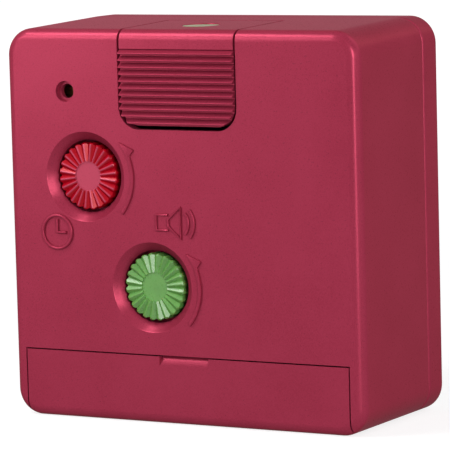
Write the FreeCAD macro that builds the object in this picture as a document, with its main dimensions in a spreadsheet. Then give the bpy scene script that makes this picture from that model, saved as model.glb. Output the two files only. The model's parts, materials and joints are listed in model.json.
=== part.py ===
import FreeCAD, Part
import math
import os
import Sketcher

# Square quartz travel alarm clock. Millimetres. X runs across the case, +Y points out of its back, +Z up.
# The origin is the middle of the base, halfway between the front face and the grip ribs of the key.

doc = FreeCAD.newDocument("travel_alarm_clock")
sheet = doc.addObject("Spreadsheet::Sheet", "Sizes")
pieces = []
V = FreeCAD.Vector
ALONG_Y = V(0, 1, 0)
ALONG_X = V(1, 0, 0)


class Measure:
    """A size as a formula on the spreadsheet, together with its present value."""

    def __init__(self, formula, value):
        self.formula = formula
        self.value = value

    def __add__(self, other):
        other = measure(other)
        return Measure("(%s + %s)" % (self.formula, other.formula), self.value + other.value)

    def __sub__(self, other):
        other = measure(other)
        return Measure("(%s - %s)" % (self.formula, other.formula), self.value - other.value)

    def __mul__(self, other):
        other = measure(other)
        return Measure("(%s * %s)" % (self.formula, other.formula), self.value * other.value)

    def __truediv__(self, other):
        other = measure(other)
        return Measure("(%s / %s)" % (self.formula, other.formula), self.value / other.value)

    def __neg__(self):
        return Measure("(0 - %s)" % self.formula, -self.value)


def measure(number):
    """A plain number as a Measure; a Measure stays as it is."""
    if isinstance(number, Measure):
        return number
    return Measure("(%.6f)" % number, float(number))


def size(alias, value, note):
    """Writes one driving size into the spreadsheet and returns it as a Measure."""
    size.row += 1
    sheet.set("A%d" % size.row, note)
    sheet.set("B%d" % size.row, str(value))
    sheet.setAlias("B%d" % size.row, alias)
    return Measure("Sizes." + alias, float(value))


size.row = 0

# Driving sizes of the case
case_width = size("case_width", 57.0, "width over the sides")
case_height = size("case_height", 57.0, "height from the base to the top at the seam")
case_depth = size("case_depth", 25.7, "front face to back plane")
bezel_depth = size("bezel_depth", 5.1, "front face to seam")
seam_gap = size("seam_gap", 0.18, "shadow gap between bezel and housing")
corner_radius = size("corner_radius", 3.9, "corner radius seen from the back")
rear_round = size("rear_round", 1.65, "rounding round the back plane")
front_round = size("front_round", 0.85, "rounding round the front face")
top_slope_drop = size("top_slope_drop", 0.65, "how far the top falls from the seam to the back")
side_wall = size("side_wall", 2.05, "wall of the housing at the sides, base and top")
back_wall = size("back_wall", 1.6, "wall of the housing at the back")
cavity_corner = size("cavity_corner", 2.0, "inner corner radius")
tongue_length = size("tongue_length", 1.2, "length of the tongue that enters the bezel")
bezel_skin = size("bezel_skin", 1.2, "bezel wall outside the tongue")
front_skin = size("front_skin", 2.2, "bezel wall at the front")
fit_gap = size("fit_gap", 0.05, "clearance of pieces that fit into one another")
slide_gap = size("slide_gap", 0.1, "clearance of pieces that slide")
running_gap = size("running_gap", 0.04, "radial clearance of shafts in their holes")

# Driving sizes of the window, lens and dial
window_border = size("window_border", 5.3, "case side to the window")
window_corner = size("window_corner", 2.4, "corner radius of the window")
frame_wall = size("frame_wall", 1.4, "wall that runs back from the window to the dial")
lens_ledge = size("lens_ledge", 1.2, "ledge that carries the lens")
lens_thickness = size("lens_thickness", 1.0, "lens")
dial_thickness = size("dial_thickness", 0.7, "dial plate")

# Driving sizes of the knobs and their wells
time_knob_x = size("time_knob_x", 15.46, "time knob axis across the case")
time_knob_rise = size("time_knob_rise", 6.74, "dial centre up to the time knob axis")
alarm_knob_x = size("alarm_knob_x", 4.86, "alarm knob axis across the case")
alarm_knob_drop = size("alarm_knob_drop", 8.84, "dial centre down to the alarm knob axis")
well_radius = size("well_radius", 6.4, "mouth of a knob well")
dish_depth = size("dish_depth", 1.3, "back plane to the lower edge of a well's sloping dish")
throat_radius = size("throat_radius", 5.25, "round hole below the dish")
well_depth = size("well_depth", 3.8, "back plane to well floor")
well_wall = size("well_wall", 1.0, "wall and floor of the well's cup")
well_lip = size("well_lip", 0.1, "rounding at the well's mouth")
knob_radius = size("knob_radius", 4.85, "knob crown")
knob_sink = size("knob_sink", 0.6, "back plane to the crown's rim")
boss_sink = size("boss_sink", 0.25, "how far the plain boss lies below the crests")
knob_boss_radius = size("knob_boss_radius", 2.1, "plain boss in the middle of the crown")
knob_lift = size("knob_lift", 0.5, "gap between the crown and the well floor")
rib_count = size("rib_count", 24, "flutes round a knob")
flute_depth = size("flute_depth", 0.5, "depth of a flute where it leaves the crown's face")
side_flute_depth = size("side_flute_depth", 0.3, "depth of a flute down the crown's side")
flute_share = size("flute_share", 0.94, "share of the pitch that a flute takes; the rest is its crest")
stem_radius = size("stem_radius", 1.0, "knob stem")

# Driving sizes of the key, its slot and the slide below it
key_width = size("key_width", 18.5, "width of the key")
key_reach = size("key_reach", 14.6, "back plane to the front edge of the key's top plate")
key_drop = size("key_drop", 14.25, "top of the case down to the key's lower edge")
key_corner = size("key_corner", 2.9, "lower corner radius of the key")
key_plate = size("key_plate", 1.4, "thickness of the key")
key_side_gap = size("key_side_gap", 0.33, "gap between the key and its slot")
key_lower_gap = size("key_lower_gap", 0.55, "gap under the key")
rib_proud = size("rib_proud", 0.5, "how far the grip ribs stand off the back plane")
rib_pitch = size("rib_pitch", 0.985, "pitch of the grip ribs")
grip_ribs = size("grip_ribs", 11, "number of grip ribs")
first_rib_drop = size("first_rib_drop", 4.0, "top of the case down to the crest of the first grip rib")
rib_height = size("rib_height", 0.62, "height of a rib's slope")
press_travel = size("press_travel", 0.4, "travel of the key when it is pressed")
marker_radius = size("marker_radius", 2.7, "green marker in the key")
marker_thickness = size("marker_thickness", 0.5, "thickness of the marker")
marker_back = size("marker_back", 7.6, "back plane to the marker's middle")

# Driving sizes of the sound outlet and buzzer
outlet_x = size("outlet_x", 18.5, "sound outlet across the case")
outlet_drop = size("outlet_drop", 9.55, "top of the case down to the sound outlet")
outlet_mouth = size("outlet_mouth", 1.5, "radius of the outlet's mouth")
outlet_bore = size("outlet_bore", 1.05, "radius of the outlet's bore")
outlet_step = size("outlet_step", 0.8, "depth of the outlet's mouth")
buzzer_x = size("buzzer_x", 20.2, "buzzer across the case")
buzzer_drop = size("buzzer_drop", 8.2, "top of the case down to the buzzer")
buzzer_radius = size("buzzer_radius", 4.9, "radius of the buzzer disc")
buzzer_thickness = size("buzzer_thickness", 0.3, "buzzer disc")
buzzer_wall = size("buzzer_wall", 0.8, "wall of the buzzer's ring")
buzzer_air = size("buzzer_air", 1.4, "air between the disc and the back wall")

# Driving sizes of the battery bay
cell_radius = size("cell_radius", 7.25, "radius of the round cell")
cell_nub_radius = size("cell_nub_radius", 2.7, "radius of the nub")
cell_nub = size("cell_nub", 1.0, "height of the nub")
cell_gap = size("cell_gap", 0.1, "gap under the cell")
contact_sheet = size("contact_sheet", 0.3, "thickness of the contact sheet")
cover_top = size("cover_top", 9.8, "top edge of the battery cover above the base")
cover_reach = size("cover_reach", 16.9, "back plane to the front edge of the cover")
cover_wall = size("cover_wall", 1.3, "thickness of the cover")
cover_gap = size("cover_gap", 0.2, "gap round the cover")
notch_width = size("notch_width", 8.0, "width of the thumb notch")
notch_height = size("notch_height", 1.4, "height of the thumb notch")
notch_depth = size("notch_depth", 0.8, "depth of the thumb notch at its top")
tab_width = size("tab_width", 6.0, "width of a cover tab")
tab_length = size("tab_length", 1.8, "length of a cover tab")
tab_thickness = size("tab_thickness", 0.8, "thickness of a cover tab")
tab_place = size("tab_place", 16.0, "middle of the case to the middle of a tab")
shelf_wall = size("shelf_wall", 1.1, "shelf above the cell")
shelf_gap = size("shelf_gap", 0.4, "gap between the cell and the shelf")

# Driving sizes of the movement, counted forward and back from its plate
plate_thickness = size("plate_thickness", 1.0, "movement plate")
plate_back = size("plate_back", 5.2, "seam to the rear face of the movement plate")
case_wall = size("case_wall", 0.8, "wall of the movement case")
case_room = size("case_room", 7.0, "room between the plate and the movement case's rear wall")
arbor_radius = size("arbor_radius", 0.3, "arbors of the wheel train")
motion_module = size("motion_module", 0.4, "module of the minute setting wheels")
wheel_width = size("wheel_width", 0.9, "width of a motion wheel")
train_width = size("train_width", 0.5, "width of a train wheel")
layer_gap = size("layer_gap", 0.25, "gap between wheel layers")
pipe_wall = size("pipe_wall", 0.4, "wall of a hand pipe")
boss_radius = size("boss_radius", 1.9, "screw boss")
screw_radius = size("screw_radius", 0.75, "screw shank")
screw_head = size("screw_head", 1.5, "screw head radius")
screw_length = size("screw_length", 6.0, "screw length under the head")

# Driving sizes of the hands
hand_thickness = size("hand_thickness", 0.25, "sheet of the hands")
hand_gap = size("hand_gap", 0.4, "gap between one hand and the next")
hour_reach = size("hour_reach", 11.0, "length of the hour hand")
minute_reach = size("minute_reach", 17.5, "length of the minute hand")
second_reach = size("second_reach", 18.0, "length of the second hand")
alarm_reach = size("alarm_reach", 9.0, "length of the alarm hand")

# Places that follow from the driving sizes
half_width = case_width / 2
back_plane = (case_depth - rib_proud) / 2
front_face = -(case_depth + rib_proud) / 2
seam = front_face + bezel_depth
back_inside = back_plane - back_wall
cavity_half = half_width - side_wall
cavity_low = side_wall
cavity_high = case_height - side_wall
dial_z = case_height / 2
time_knob_z = dial_z + time_knob_rise
alarm_knob_z = dial_z - alarm_knob_drop
key_bottom = case_height - key_drop
first_rib = case_height - first_rib_drop
outlet_z = case_height - outlet_drop
buzzer_z = case_height - buzzer_drop
dial_front = seam - dial_thickness
plate_rear = seam + plate_back
plate_front = plate_rear - plate_thickness
slot_half = key_width / 2 + key_side_gap
slot_bottom = key_bottom - key_lower_gap
well_floor = back_plane - well_depth
cell_z = cover_wall + cell_gap + cell_radius
shelf_low = cell_z + cell_radius + shelf_gap
shelf_high = shelf_low + shelf_wall


def bind(thing, target, value):
    """Ties a property or a named sketch constraint to the spreadsheet."""
    thing.setExpression(target, measure(value).formula)


def new_body(label):
    """An empty body, listed as one of the clock's pieces."""
    body = doc.addObject("PartDesign::Body", label)
    body.Label = label
    pieces.append(body)
    return body


def sketch_on(body, role, name, distance=0.0):
    """A sketch on one of the body's origin planes, moved out to the distance along the world axis."""
    base = [plane for plane in body.Origin.OriginFeatures if plane.Role == role][0]
    drawing = body.newObject("Sketcher::SketchObject", body.Label + "_" + name)
    drawing.AttachmentSupport = (base, "")
    drawing.MapMode = "FlatFace"
    distance = measure(distance)
    if role == "XZ_Plane":
        distance = -distance
    bind(drawing, "AttachmentOffset.Base.z", distance)
    return drawing


def dimension(drawing, kind, value, *where):
    """One driving dimension of a sketch, tied to the spreadsheet."""
    value = measure(value)
    index = drawing.addConstraint(Sketcher.Constraint(kind, *where, value.value))
    name = "%s_%d" % (kind.lower(), index)
    drawing.renameConstraint(index, name)
    bind(drawing, "Constraints." + name, value)


def place_point(drawing, shape, point, across, up):
    """Dimensions one point of a sketch from the sketch's origin."""
    dimension(drawing, "DistanceX", across, -1, 1, shape, point)
    dimension(drawing, "DistanceY", up, -1, 1, shape, point)


def circle(drawing, across, up, radius):
    """A full circle with its middle and radius dimensioned."""
    middle = V(measure(across).value, measure(up).value, 0)
    index = drawing.addGeometry(Part.Circle(middle, V(0, 0, 1), measure(radius).value))
    place_point(drawing, index, 3, across, up)
    dimension(drawing, "Radius", radius, index)


def polygon(drawing, points):
    """A closed outline of straight lines, every corner dimensioned."""
    corners = [V(measure(across).value, measure(up).value, 0) for across, up in points]
    first = drawing.GeometryCount
    count = len(points)
    for index in range(count):
        drawing.addGeometry(Part.LineSegment(corners[index], corners[(index + 1) % count]))
    for index in range(count):
        following = first + (index + 1) % count
        drawing.addConstraint(Sketcher.Constraint("Coincident", first + index, 2, following, 1))
        place_point(drawing, first + index, 1, *points[index])


def rectangle(drawing, left, right, low, high):
    """A rectangle given by its four edges."""
    polygon(drawing, [(left, low), (right, low), (right, high), (left, high)])


def rounded_rectangle(drawing, left, right, low, high, radius):
    """A rectangle with four equal round corners."""
    x0, x1, y0, y1 = [measure(edge).value for edge in (left, right, low, high)]
    r = measure(radius).value
    first = drawing.GeometryCount
    quarter = math.pi / 2
    lines = [
        (V(x0 + r, y0, 0), V(x1 - r, y0, 0)),
        (V(x1, y0 + r, 0), V(x1, y1 - r, 0)),
        (V(x1 - r, y1, 0), V(x0 + r, y1, 0)),
        (V(x0, y1 - r, 0), V(x0, y0 + r, 0)),
    ]
    middles = [V(x1 - r, y0 + r, 0), V(x1 - r, y1 - r, 0), V(x0 + r, y1 - r, 0), V(x0 + r, y0 + r, 0)]
    for corner in range(4):
        drawing.addGeometry(Part.LineSegment(*lines[corner]))
        round_form = Part.Circle(middles[corner], V(0, 0, 1), r)
        start = (corner - 1) * quarter
        drawing.addGeometry(Part.ArcOfCircle(round_form, start, start + quarter))
    for corner in range(4):
        line = first + 2 * corner
        arc = line + 1
        following = first + (2 * corner + 2) % 8
        drawing.addConstraint(Sketcher.Constraint("Tangent", line, 2, arc, 1))
        drawing.addConstraint(Sketcher.Constraint("Tangent", arc, 2, following, 1))
        if corner > 0:
            drawing.addConstraint(Sketcher.Constraint("Equal", first + 1, arc))
        drawing.addConstraint(Sketcher.Constraint("Horizontal" if corner % 2 == 0 else "Vertical", line))
    dimension(drawing, "Radius", radius, first + 1)
    dimension(drawing, "DistanceY", low, -1, 1, first, 1)
    dimension(drawing, "DistanceX", right, -1, 1, first + 2, 1)
    dimension(drawing, "DistanceY", high, -1, 1, first + 4, 1)
    dimension(drawing, "DistanceX", left, -1, 1, first + 6, 1)


def framed(drawing, inset, radius):
    """A rounded rectangle that lies inside the outline of the case by the inset."""
    rounded_rectangle(drawing, inset - half_width, half_width - inset, inset, case_height - inset, radius)


def extrude(body, kind, drawing, length, towards):
    """A Pad or Pocket of the drawing towards +1 or -1 along the world axis, or both ways alike with 0."""
    before = body.Shape.Volume if kind == "Pocket" else 0.0
    feature = body.newObject("PartDesign::" + kind, drawing.Label + "_" + kind.lower())
    feature.Profile = drawing
    bind(feature, "Length", length)
    support = drawing.AttachmentSupport[0][0]
    natural = -1 if support.Role == "XZ_Plane" else 1
    if kind == "Pocket":
        natural = -natural
    if towards == 0:
        feature.SideType = "Symmetric"
    else:
        feature.Reversed = towards != natural
    doc.recompute()
    if kind == "Pocket" and not feature.Shape.Volume < before - 1e-6:
        raise ValueError(feature.Label + " cuts nothing")
    return feature


def turn(body, kind, drawing, points, axis_across, axis_low, axis_high):
    """A Revolution or Groove of a closed outline about a line that runs up the sketch."""
    polygon(drawing, points)
    foot = V(measure(axis_across).value, measure(axis_low).value, 0)
    head = V(measure(axis_across).value, measure(axis_high).value, 0)
    line = drawing.addGeometry(Part.LineSegment(foot, head), True)
    place_point(drawing, line, 1, axis_across, axis_low)
    place_point(drawing, line, 2, axis_across, axis_high)
    feature = body.newObject("PartDesign::" + kind, drawing.Label + "_" + kind.lower())
    feature.Profile = drawing
    feature.ReferenceAxis = (drawing, ["Axis0"])
    feature.Angle = 360
    doc.recompute()
    return feature


def edges_where(body, test):
    """Names of the edges of the body's present shape that pass the test."""
    shape = body.Tip.Shape
    return ["Edge%d" % (index + 1) for index, edge in enumerate(shape.Edges) if test(edge)]


def fillet(body, name, radius, test):
    """Rounds the edges that pass the test."""
    names = edges_where(body, test)
    base = body.Tip
    feature = body.newObject("PartDesign::Fillet", body.Label + "_" + name)
    feature.Base = (base, names)
    bind(feature, "Radius", radius)
    doc.recompute()
    return feature


def spans(edge, axis, low, high):
    """Whether the edge's box runs from low to high along the axis."""
    box = edge.BoundBox
    start, end = {"x": (box.XMin, box.XMax), "y": (box.YMin, box.YMax), "z": (box.ZMin, box.ZMax)}[axis]
    return abs(start - low) < 0.01 and abs(end - high) < 0.01


def free_piece(label, shape, across=0.0, up=0.0):
    """A piece whose shape is set here, about its own axis, and then moved to its place."""
    piece = doc.addObject("Part::Feature", label)
    piece.Label = label
    piece.Shape = shape
    piece.Placement = FreeCAD.Placement(V(measure(across).value, 0, measure(up).value), FreeCAD.Rotation())
    pieces.append(piece)
    return piece


def rod(radius, start, end, bore=None):
    """A round bar along Y from start to end, hollow where a bore is given."""
    radius, start, end = [measure(value).value for value in (radius, start, end)]
    solid = Part.makeCylinder(radius, end - start, V(0, start, 0), ALONG_Y)
    if bore is not None:
        solid = solid.cut(Part.makeCylinder(measure(bore).value, end - start, V(0, start, 0), ALONG_Y))
    return solid


# Shape of a tooth, as shares of the module and of the pitch
TOOTH_HEAD = 0.80
TOOTH_FOOT = 1.15
TIP_SHARE = 0.085
PITCH_SHARE = 0.205
FOOT_SHARE = 0.275


def toothed(teeth, module, phase, start, width):
    """A spur wheel about Y with one tooth centred at the phase angle from +X towards +Z, in radians."""
    pitch = 2 * math.pi / teeth
    middle_radius = teeth * module / 2
    tip = middle_radius + TOOTH_HEAD * module
    foot = middle_radius - TOOTH_FOOT * module
    flank = ((foot, -FOOT_SHARE), (middle_radius, -PITCH_SHARE), (tip, -TIP_SHARE))
    flank += ((tip, TIP_SHARE), (middle_radius, PITCH_SHARE), (foot, FOOT_SHARE))
    corners = []
    for tooth in range(teeth):
        for radius, share in flank:
            angle = phase + (tooth + share) * pitch
            corners.append(V(radius * math.cos(angle), start, radius * math.sin(angle)))
    corners.append(corners[0])
    return Part.Face(Part.makePolygon(corners)).extrude(V(0, width, 0))


def meshing_phase(place, teeth, phase, mate_place, mate_teeth):
    """Phase of a wheel at mate_place that puts its gap where the first wheel's tooth meets it."""
    direction = math.atan2(mate_place[1] - place[1], mate_place[0] - place[0])
    share = (direction - phase) / (2 * math.pi / teeth)
    pitch = 2 * math.pi / mate_teeth
    return direction + math.pi - (0.5 - share) * pitch


# Rear housing

def make_rear_housing():
    body = new_body("rear_housing")
    side = sketch_on(body, "YZ_Plane", "side")
    rear_height = case_height - top_slope_drop
    polygon(side, [(seam, 0.0), (back_plane, 0.0), (back_plane, rear_height), (seam, case_height)])
    extrude(body, "Pad", side, case_width, 0)
    fillet(body, "corners", corner_radius, lambda edge: spans(edge, "y", seam.value, back_plane.value))
    fillet(body, "back_rounding", rear_round, lambda edge: spans(edge, "y", back_plane.value, back_plane.value))

    cavity = sketch_on(body, "XZ_Plane", "cavity", seam)
    framed(cavity, side_wall, cavity_corner)
    extrude(body, "Pocket", cavity, back_inside - seam, 1)

    tongue = sketch_on(body, "XZ_Plane", "tongue", seam)
    framed(tongue, bezel_skin + fit_gap, cavity_corner + side_wall - bezel_skin - fit_gap)
    framed(tongue, side_wall, cavity_corner)
    extrude(body, "Pad", tongue, tongue_length, -1)

    add_key_slot(body)
    add_sound_outlet(body)
    add_battery_bay(body)
    add_screw_bosses(body)
    add_wells(body)
    return body


def add_wells(body):
    """Two wells, each a sloping dish round a deeper hole, with a cup inside the wall and a bore for the stem."""
    for name, across, up in (("time", time_knob_x, time_knob_z), ("alarm", alarm_knob_x, alarm_knob_z)):
        cup = sketch_on(body, "XZ_Plane", name + "_cup", back_inside)
        circle(cup, across, up, well_radius + well_wall)
        extrude(body, "Pad", cup, back_inside - well_floor + well_wall, -1)
        well = sketch_on(body, "XY_Plane", name + "_well", up)
        past = back_plane + well_lip
        turn(body, "Groove", well, [
            (across, past), (across + well_radius + well_lip, past),
            (across + well_radius + well_lip, back_plane), (across + well_radius, back_plane - well_lip),
            (across + throat_radius, back_plane - dish_depth), (across + throat_radius, well_floor),
            (across, well_floor),
        ], across, well_floor, past)
        bore = sketch_on(body, "XZ_Plane", name + "_bore", well_floor)
        circle(bore, across, up, stem_radius + running_gap)
        extrude(body, "Pocket", bore, well_wall, -1)


def add_key_slot(body):
    """The L-shaped opening for the key, with guides for the slide on both sides behind it."""
    corner = key_corner + key_side_gap
    slot = sketch_on(body, "XZ_Plane", "key_slot", back_plane)
    rounded_rectangle(slot, -slot_half, slot_half, slot_bottom, case_height + corner * 2, corner)
    extrude(body, "Pocket", slot, back_wall, -1)
    gate = sketch_on(body, "XY_Plane", "key_gate", case_height)
    rectangle(gate, -slot_half, slot_half, back_plane - key_reach - key_side_gap, back_plane)
    extrude(body, "Pocket", gate, side_wall, -1)
    guides = sketch_on(body, "XZ_Plane", "slide_guides", back_inside)
    inner = slot_half + carriage_wing + slide_gap
    rectangle(guides, inner, inner + guide_wall, slot_bottom, cavity_high)
    rectangle(guides, -inner - guide_wall, -inner, slot_bottom, cavity_high)
    extrude(body, "Pad", guides, guide_depth, -1)


def add_sound_outlet(body):
    """The stepped hole in front of the buzzer."""
    mouth = sketch_on(body, "XZ_Plane", "outlet_mouth", back_plane)
    circle(mouth, outlet_x, outlet_z, outlet_mouth)
    extrude(body, "Pocket", mouth, outlet_step, -1)
    bore = sketch_on(body, "XZ_Plane", "outlet_bore", back_plane)
    circle(bore, outlet_x, outlet_z, outlet_bore)
    extrude(body, "Pocket", bore, back_wall, -1)


def add_battery_bay(body):
    """The opening that the battery cover fills, pockets for its tabs and the shelf above the cell."""
    opening = sketch_on(body, "YZ_Plane", "battery_opening")
    front = back_plane - cover_reach - cover_gap
    top = cover_top + cover_gap
    polygon(opening, [
        (front, -side_wall), (back_plane + back_wall, -side_wall), (back_plane + back_wall, top),
        (back_inside, top), (back_inside, cavity_low + cavity_corner), (front, cavity_low + cavity_corner),
    ])
    extrude(body, "Pocket", opening, cavity_half * 2, 0)
    pockets = sketch_on(body, "XZ_Plane", "tab_pockets", front)
    half_tab = tab_width / 2 + cover_gap
    low = cover_wall - tab_thickness - slide_gap
    high = cover_wall + slide_gap
    for side in (-1, 1):
        middle = tab_place * side
        rectangle(pockets, middle - half_tab, middle + half_tab, low, high)
    extrude(body, "Pocket", pockets, tab_length + slide_gap, -1)
    shelf = sketch_on(body, "YZ_Plane", "battery_shelf")
    rectangle(shelf, shelf_front, back_inside + fit_gap, shelf_low, shelf_high)
    extrude(body, "Pad", shelf, (cavity_half + fit_gap) * 2, 0)


def add_screw_bosses(body):
    """Bosses that carry the movement, with a pilot bore in the front of each."""
    bosses = sketch_on(body, "XZ_Plane", "bosses", back_inside)
    for across, up in boss_places:
        circle(bosses, across, up, boss_radius)
    extrude(body, "Pad", bosses, back_inside - plate_rear, -1)
    pilots = sketch_on(body, "XZ_Plane", "pilots", plate_rear)
    for across, up in boss_places:
        circle(pilots, across, up, screw_radius + fit_gap)
    extrude(body, "Pocket", pilots, screw_length, 1)


carriage_wing = size("carriage_wing", 1.0, "how far the carriage reaches behind the wall beside the slot")
guide_wall = size("guide_wall", 1.0, "thickness of a slide guide")
guide_depth = size("guide_depth", 3.2, "depth of a slide guide inside the back wall")
shelf_front = -(size("shelf_reach", 6.0, "origin to the front edge of the battery shelf"))
boss_inset = size("boss_inset", 2.15, "side wall to a boss's middle")
boss_high = dial_z + size("boss_rise", 12.0, "dial centre up to the upper boss")
boss_low = shelf_high + boss_radius + size("boss_gap", 1.7, "battery shelf to the lower bosses")
boss_places = [
    (-(cavity_half - boss_inset), boss_high),
    (-(cavity_half - boss_inset), boss_low),
    (cavity_half - boss_inset, boss_low),
]


# Front bezel, lens and dial

def make_front_bezel():
    body = new_body("front_bezel")
    outline = sketch_on(body, "XZ_Plane", "outline", front_face)
    rectangle(outline, -half_width, half_width, 0.0, case_height)
    rear = seam - seam_gap
    extrude(body, "Pad", outline, bezel_depth - seam_gap, 1)
    fillet(body, "corners", corner_radius, lambda edge: spans(edge, "y", front_face.value, rear.value))
    fillet(body, "front_rounding", front_round, lambda edge: spans(edge, "y", front_face.value, front_face.value))
    window = sketch_on(body, "XZ_Plane", "window", front_face)
    framed(window, window_border, window_corner)
    extrude(body, "Pocket", window, bezel_depth, 1)
    seat = sketch_on(body, "XZ_Plane", "lens_seat", front_face)
    framed(seat, window_border - lens_ledge, window_corner + lens_ledge)
    extrude(body, "Pocket", seat, lens_thickness, 1)
    recess = sketch_on(body, "XZ_Plane", "dial_recess", seam)
    corner = cavity_corner + side_wall - bezel_skin
    framed(recess, bezel_skin, corner)
    extrude(body, "Pocket", recess, dial_thickness, -1)
    relief = sketch_on(body, "XZ_Plane", "relief", seam)
    framed(relief, bezel_skin, corner)
    framed(relief, window_border - frame_wall, window_corner + frame_wall)
    extrude(body, "Pocket", relief, bezel_depth - front_skin, -1)
    return body


def make_front_lens():
    body = new_body("front_lens")
    outline = sketch_on(body, "XZ_Plane", "outline", front_face)
    framed(outline, window_border - lens_ledge + fit_gap, window_corner + lens_ledge - fit_gap)
    extrude(body, "Pad", outline, lens_thickness, 1)
    return body


def make_dial_plate():
    body = new_body("dial_plate")
    outline = sketch_on(body, "XZ_Plane", "outline", dial_front)
    framed(outline, side_wall + fit_gap, cavity_corner - fit_gap)
    circle(outline, 0.0, dial_z, alarm_pipe + hand_gap)
    extrude(body, "Pad", outline, dial_thickness, 1)
    return body


# Hand pipes, each running on the one inside it
second_arbor = size("second_arbor", 0.35, "arbor of the second hand")
centre_tube = second_arbor + running_gap + pipe_wall / 2
minute_pipe = centre_tube + running_gap + pipe_wall
hour_pipe = minute_pipe + running_gap + pipe_wall
alarm_pipe = hour_pipe + running_gap + pipe_wall

# Hands lie in front of the dial, the alarm hand nearest to it
alarm_hand_y = dial_front - hand_gap * 2 - hand_thickness
hour_hand_y = alarm_hand_y - hand_gap - hand_thickness
minute_hand_y = hour_hand_y - hand_gap - hand_thickness
second_hand_y = minute_hand_y - hand_gap - hand_thickness


def make_hand(label, reach, tail, root_width, tip_width, depth, pipe, degrees):
    """A flat hand about its own hub, turned clockwise on the dial by the given degrees."""
    body = new_body(label)
    hub = sketch_on(body, "XZ_Plane", "hub")
    circle(hub, 0.0, 0.0, pipe + hub_wall)
    extrude(body, "Pad", hub, hand_thickness, 1)
    blade = sketch_on(body, "XZ_Plane", "blade")
    polygon(blade, [
        (-root_width / 2, -tail), (root_width / 2, -tail), (tip_width / 2, reach), (-tip_width / 2, reach),
    ])
    extrude(body, "Pad", blade, hand_thickness, 1)
    bore = sketch_on(body, "XZ_Plane", "bore")
    circle(bore, 0.0, 0.0, pipe)
    extrude(body, "Pocket", bore, hand_thickness, 1)
    turned = FreeCAD.Rotation(ALONG_Y, -degrees.value)
    body.Placement = FreeCAD.Placement(V(0, depth.value, dial_z.value), turned)
    return body


hub_wall = size("hub_wall", 0.9, "hand hub round its pipe")
hour_width = size("hour_width", 1.9, "width of the hour hand")
minute_width = size("minute_width", 1.5, "width of the minute hand")
second_width = size("second_width", 0.6, "width of the second hand")
alarm_width = size("alarm_width", 1.0, "width of the alarm hand")
hand_tail = size("hand_tail", 3.4, "tail of the hour and minute hands")
second_tail = size("second_tail", 6.0, "tail of the second hand")
alarm_tail = size("alarm_tail", 2.6, "tail of the alarm hand")
hour_degrees = size("hour_degrees", 305.0, "hour hand, clockwise from twelve")
minute_degrees = size("minute_degrees", 60.0, "minute hand, clockwise from twelve")
second_degrees = size("second_degrees", 200.0, "second hand, clockwise from twelve")
alarm_degrees = size("alarm_degrees", 195.0, "alarm hand, clockwise from twelve")


def make_hands():
    make_hand("alarm_hand", alarm_reach, alarm_tail, alarm_width, alarm_width, alarm_hand_y, alarm_pipe, alarm_degrees)
    make_hand("hour_hand", hour_reach, hand_tail, hour_width, hour_width, hour_hand_y, hour_pipe, hour_degrees)
    make_hand("minute_hand", minute_reach, hand_tail, minute_width, minute_width, minute_hand_y, minute_pipe,
              minute_degrees)
    make_hand("second_hand", second_reach, second_tail, second_width, second_width, second_hand_y, second_arbor,
              second_degrees)


# Wheel counts of the train and the motion work
ROTOR_TEETH = 6
INTERMEDIATE_TEETH = 36
SMALL_PINION = 6
SECOND_TEETH = 30
THIRD_TEETH = 48
THIRD_PINION = 8
CENTRE_TEETH = 60
SETTING_PINION = 12
MINUTE_TEETH = 36
MINUTE_PINION = 10
HOUR_TEETH = 40
ALARM_TEETH = 36

# Places of the arbors in the plane of the dial, as plain numbers (across, up)
rotor_module = size("rotor_module", 0.2, "module of the rotor pinion")
second_module = size("second_module", 0.37, "module of the second wheel")
third_module = size("third_module", 0.24, "module of the third wheel")
third_turn = size("third_turn", 140.6, "direction of the third arbor from the dial centre, degrees from +X")
intermediate_turn = size("intermediate_turn", 222.5, "direction of the intermediate arbor, degrees from +X")
rotor_turn = size("rotor_turn", 200.0, "direction of the rotor from the intermediate arbor, degrees from +X")


def arbor_place(start, distance, degrees):
    """A point at the distance and direction from another one."""
    angle = math.radians(degrees)
    return (start[0] + distance * math.cos(angle), start[1] + distance * math.sin(angle))


centre_place = (0.0, dial_z.value)
time_place = (time_knob_x.value, time_knob_z.value)
alarm_place = (alarm_knob_x.value, alarm_knob_z.value)
third_distance = third_module.value * (SMALL_PINION + THIRD_TEETH) / 2
centre_module = 2 * third_distance / (THIRD_PINION + CENTRE_TEETH)
third_place = arbor_place(centre_place, third_distance, third_turn.value)
second_distance = second_module.value * (SMALL_PINION + SECOND_TEETH) / 2
intermediate_place = arbor_place(centre_place, second_distance, intermediate_turn.value)
rotor_distance = rotor_module.value * (ROTOR_TEETH + INTERMEDIATE_TEETH) / 2
rotor_place = arbor_place(intermediate_place, rotor_distance, rotor_turn.value)
alarm_distance = math.dist(centre_place, alarm_place)
alarm_module = 2 * alarm_distance / (SETTING_PINION + ALARM_TEETH)
minute_distance = motion_module.value * (SETTING_PINION + MINUTE_TEETH) / 2
hour_module = 2 * minute_distance / (MINUTE_PINION + HOUR_TEETH)


def minute_arbor_place():
    """The point at one gear distance from both the dial centre and the time knob, on the upper side."""
    across = (time_place[0] - centre_place[0], time_place[1] - centre_place[1])
    apart = math.hypot(*across)
    rise = math.sqrt(minute_distance ** 2 - (apart / 2) ** 2)
    middle = ((centre_place[0] + time_place[0]) / 2, (centre_place[1] + time_place[1]) / 2)
    return (middle[0] - across[1] / apart * rise, middle[1] + across[0] / apart * rise)


minute_place = minute_arbor_place()

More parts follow.
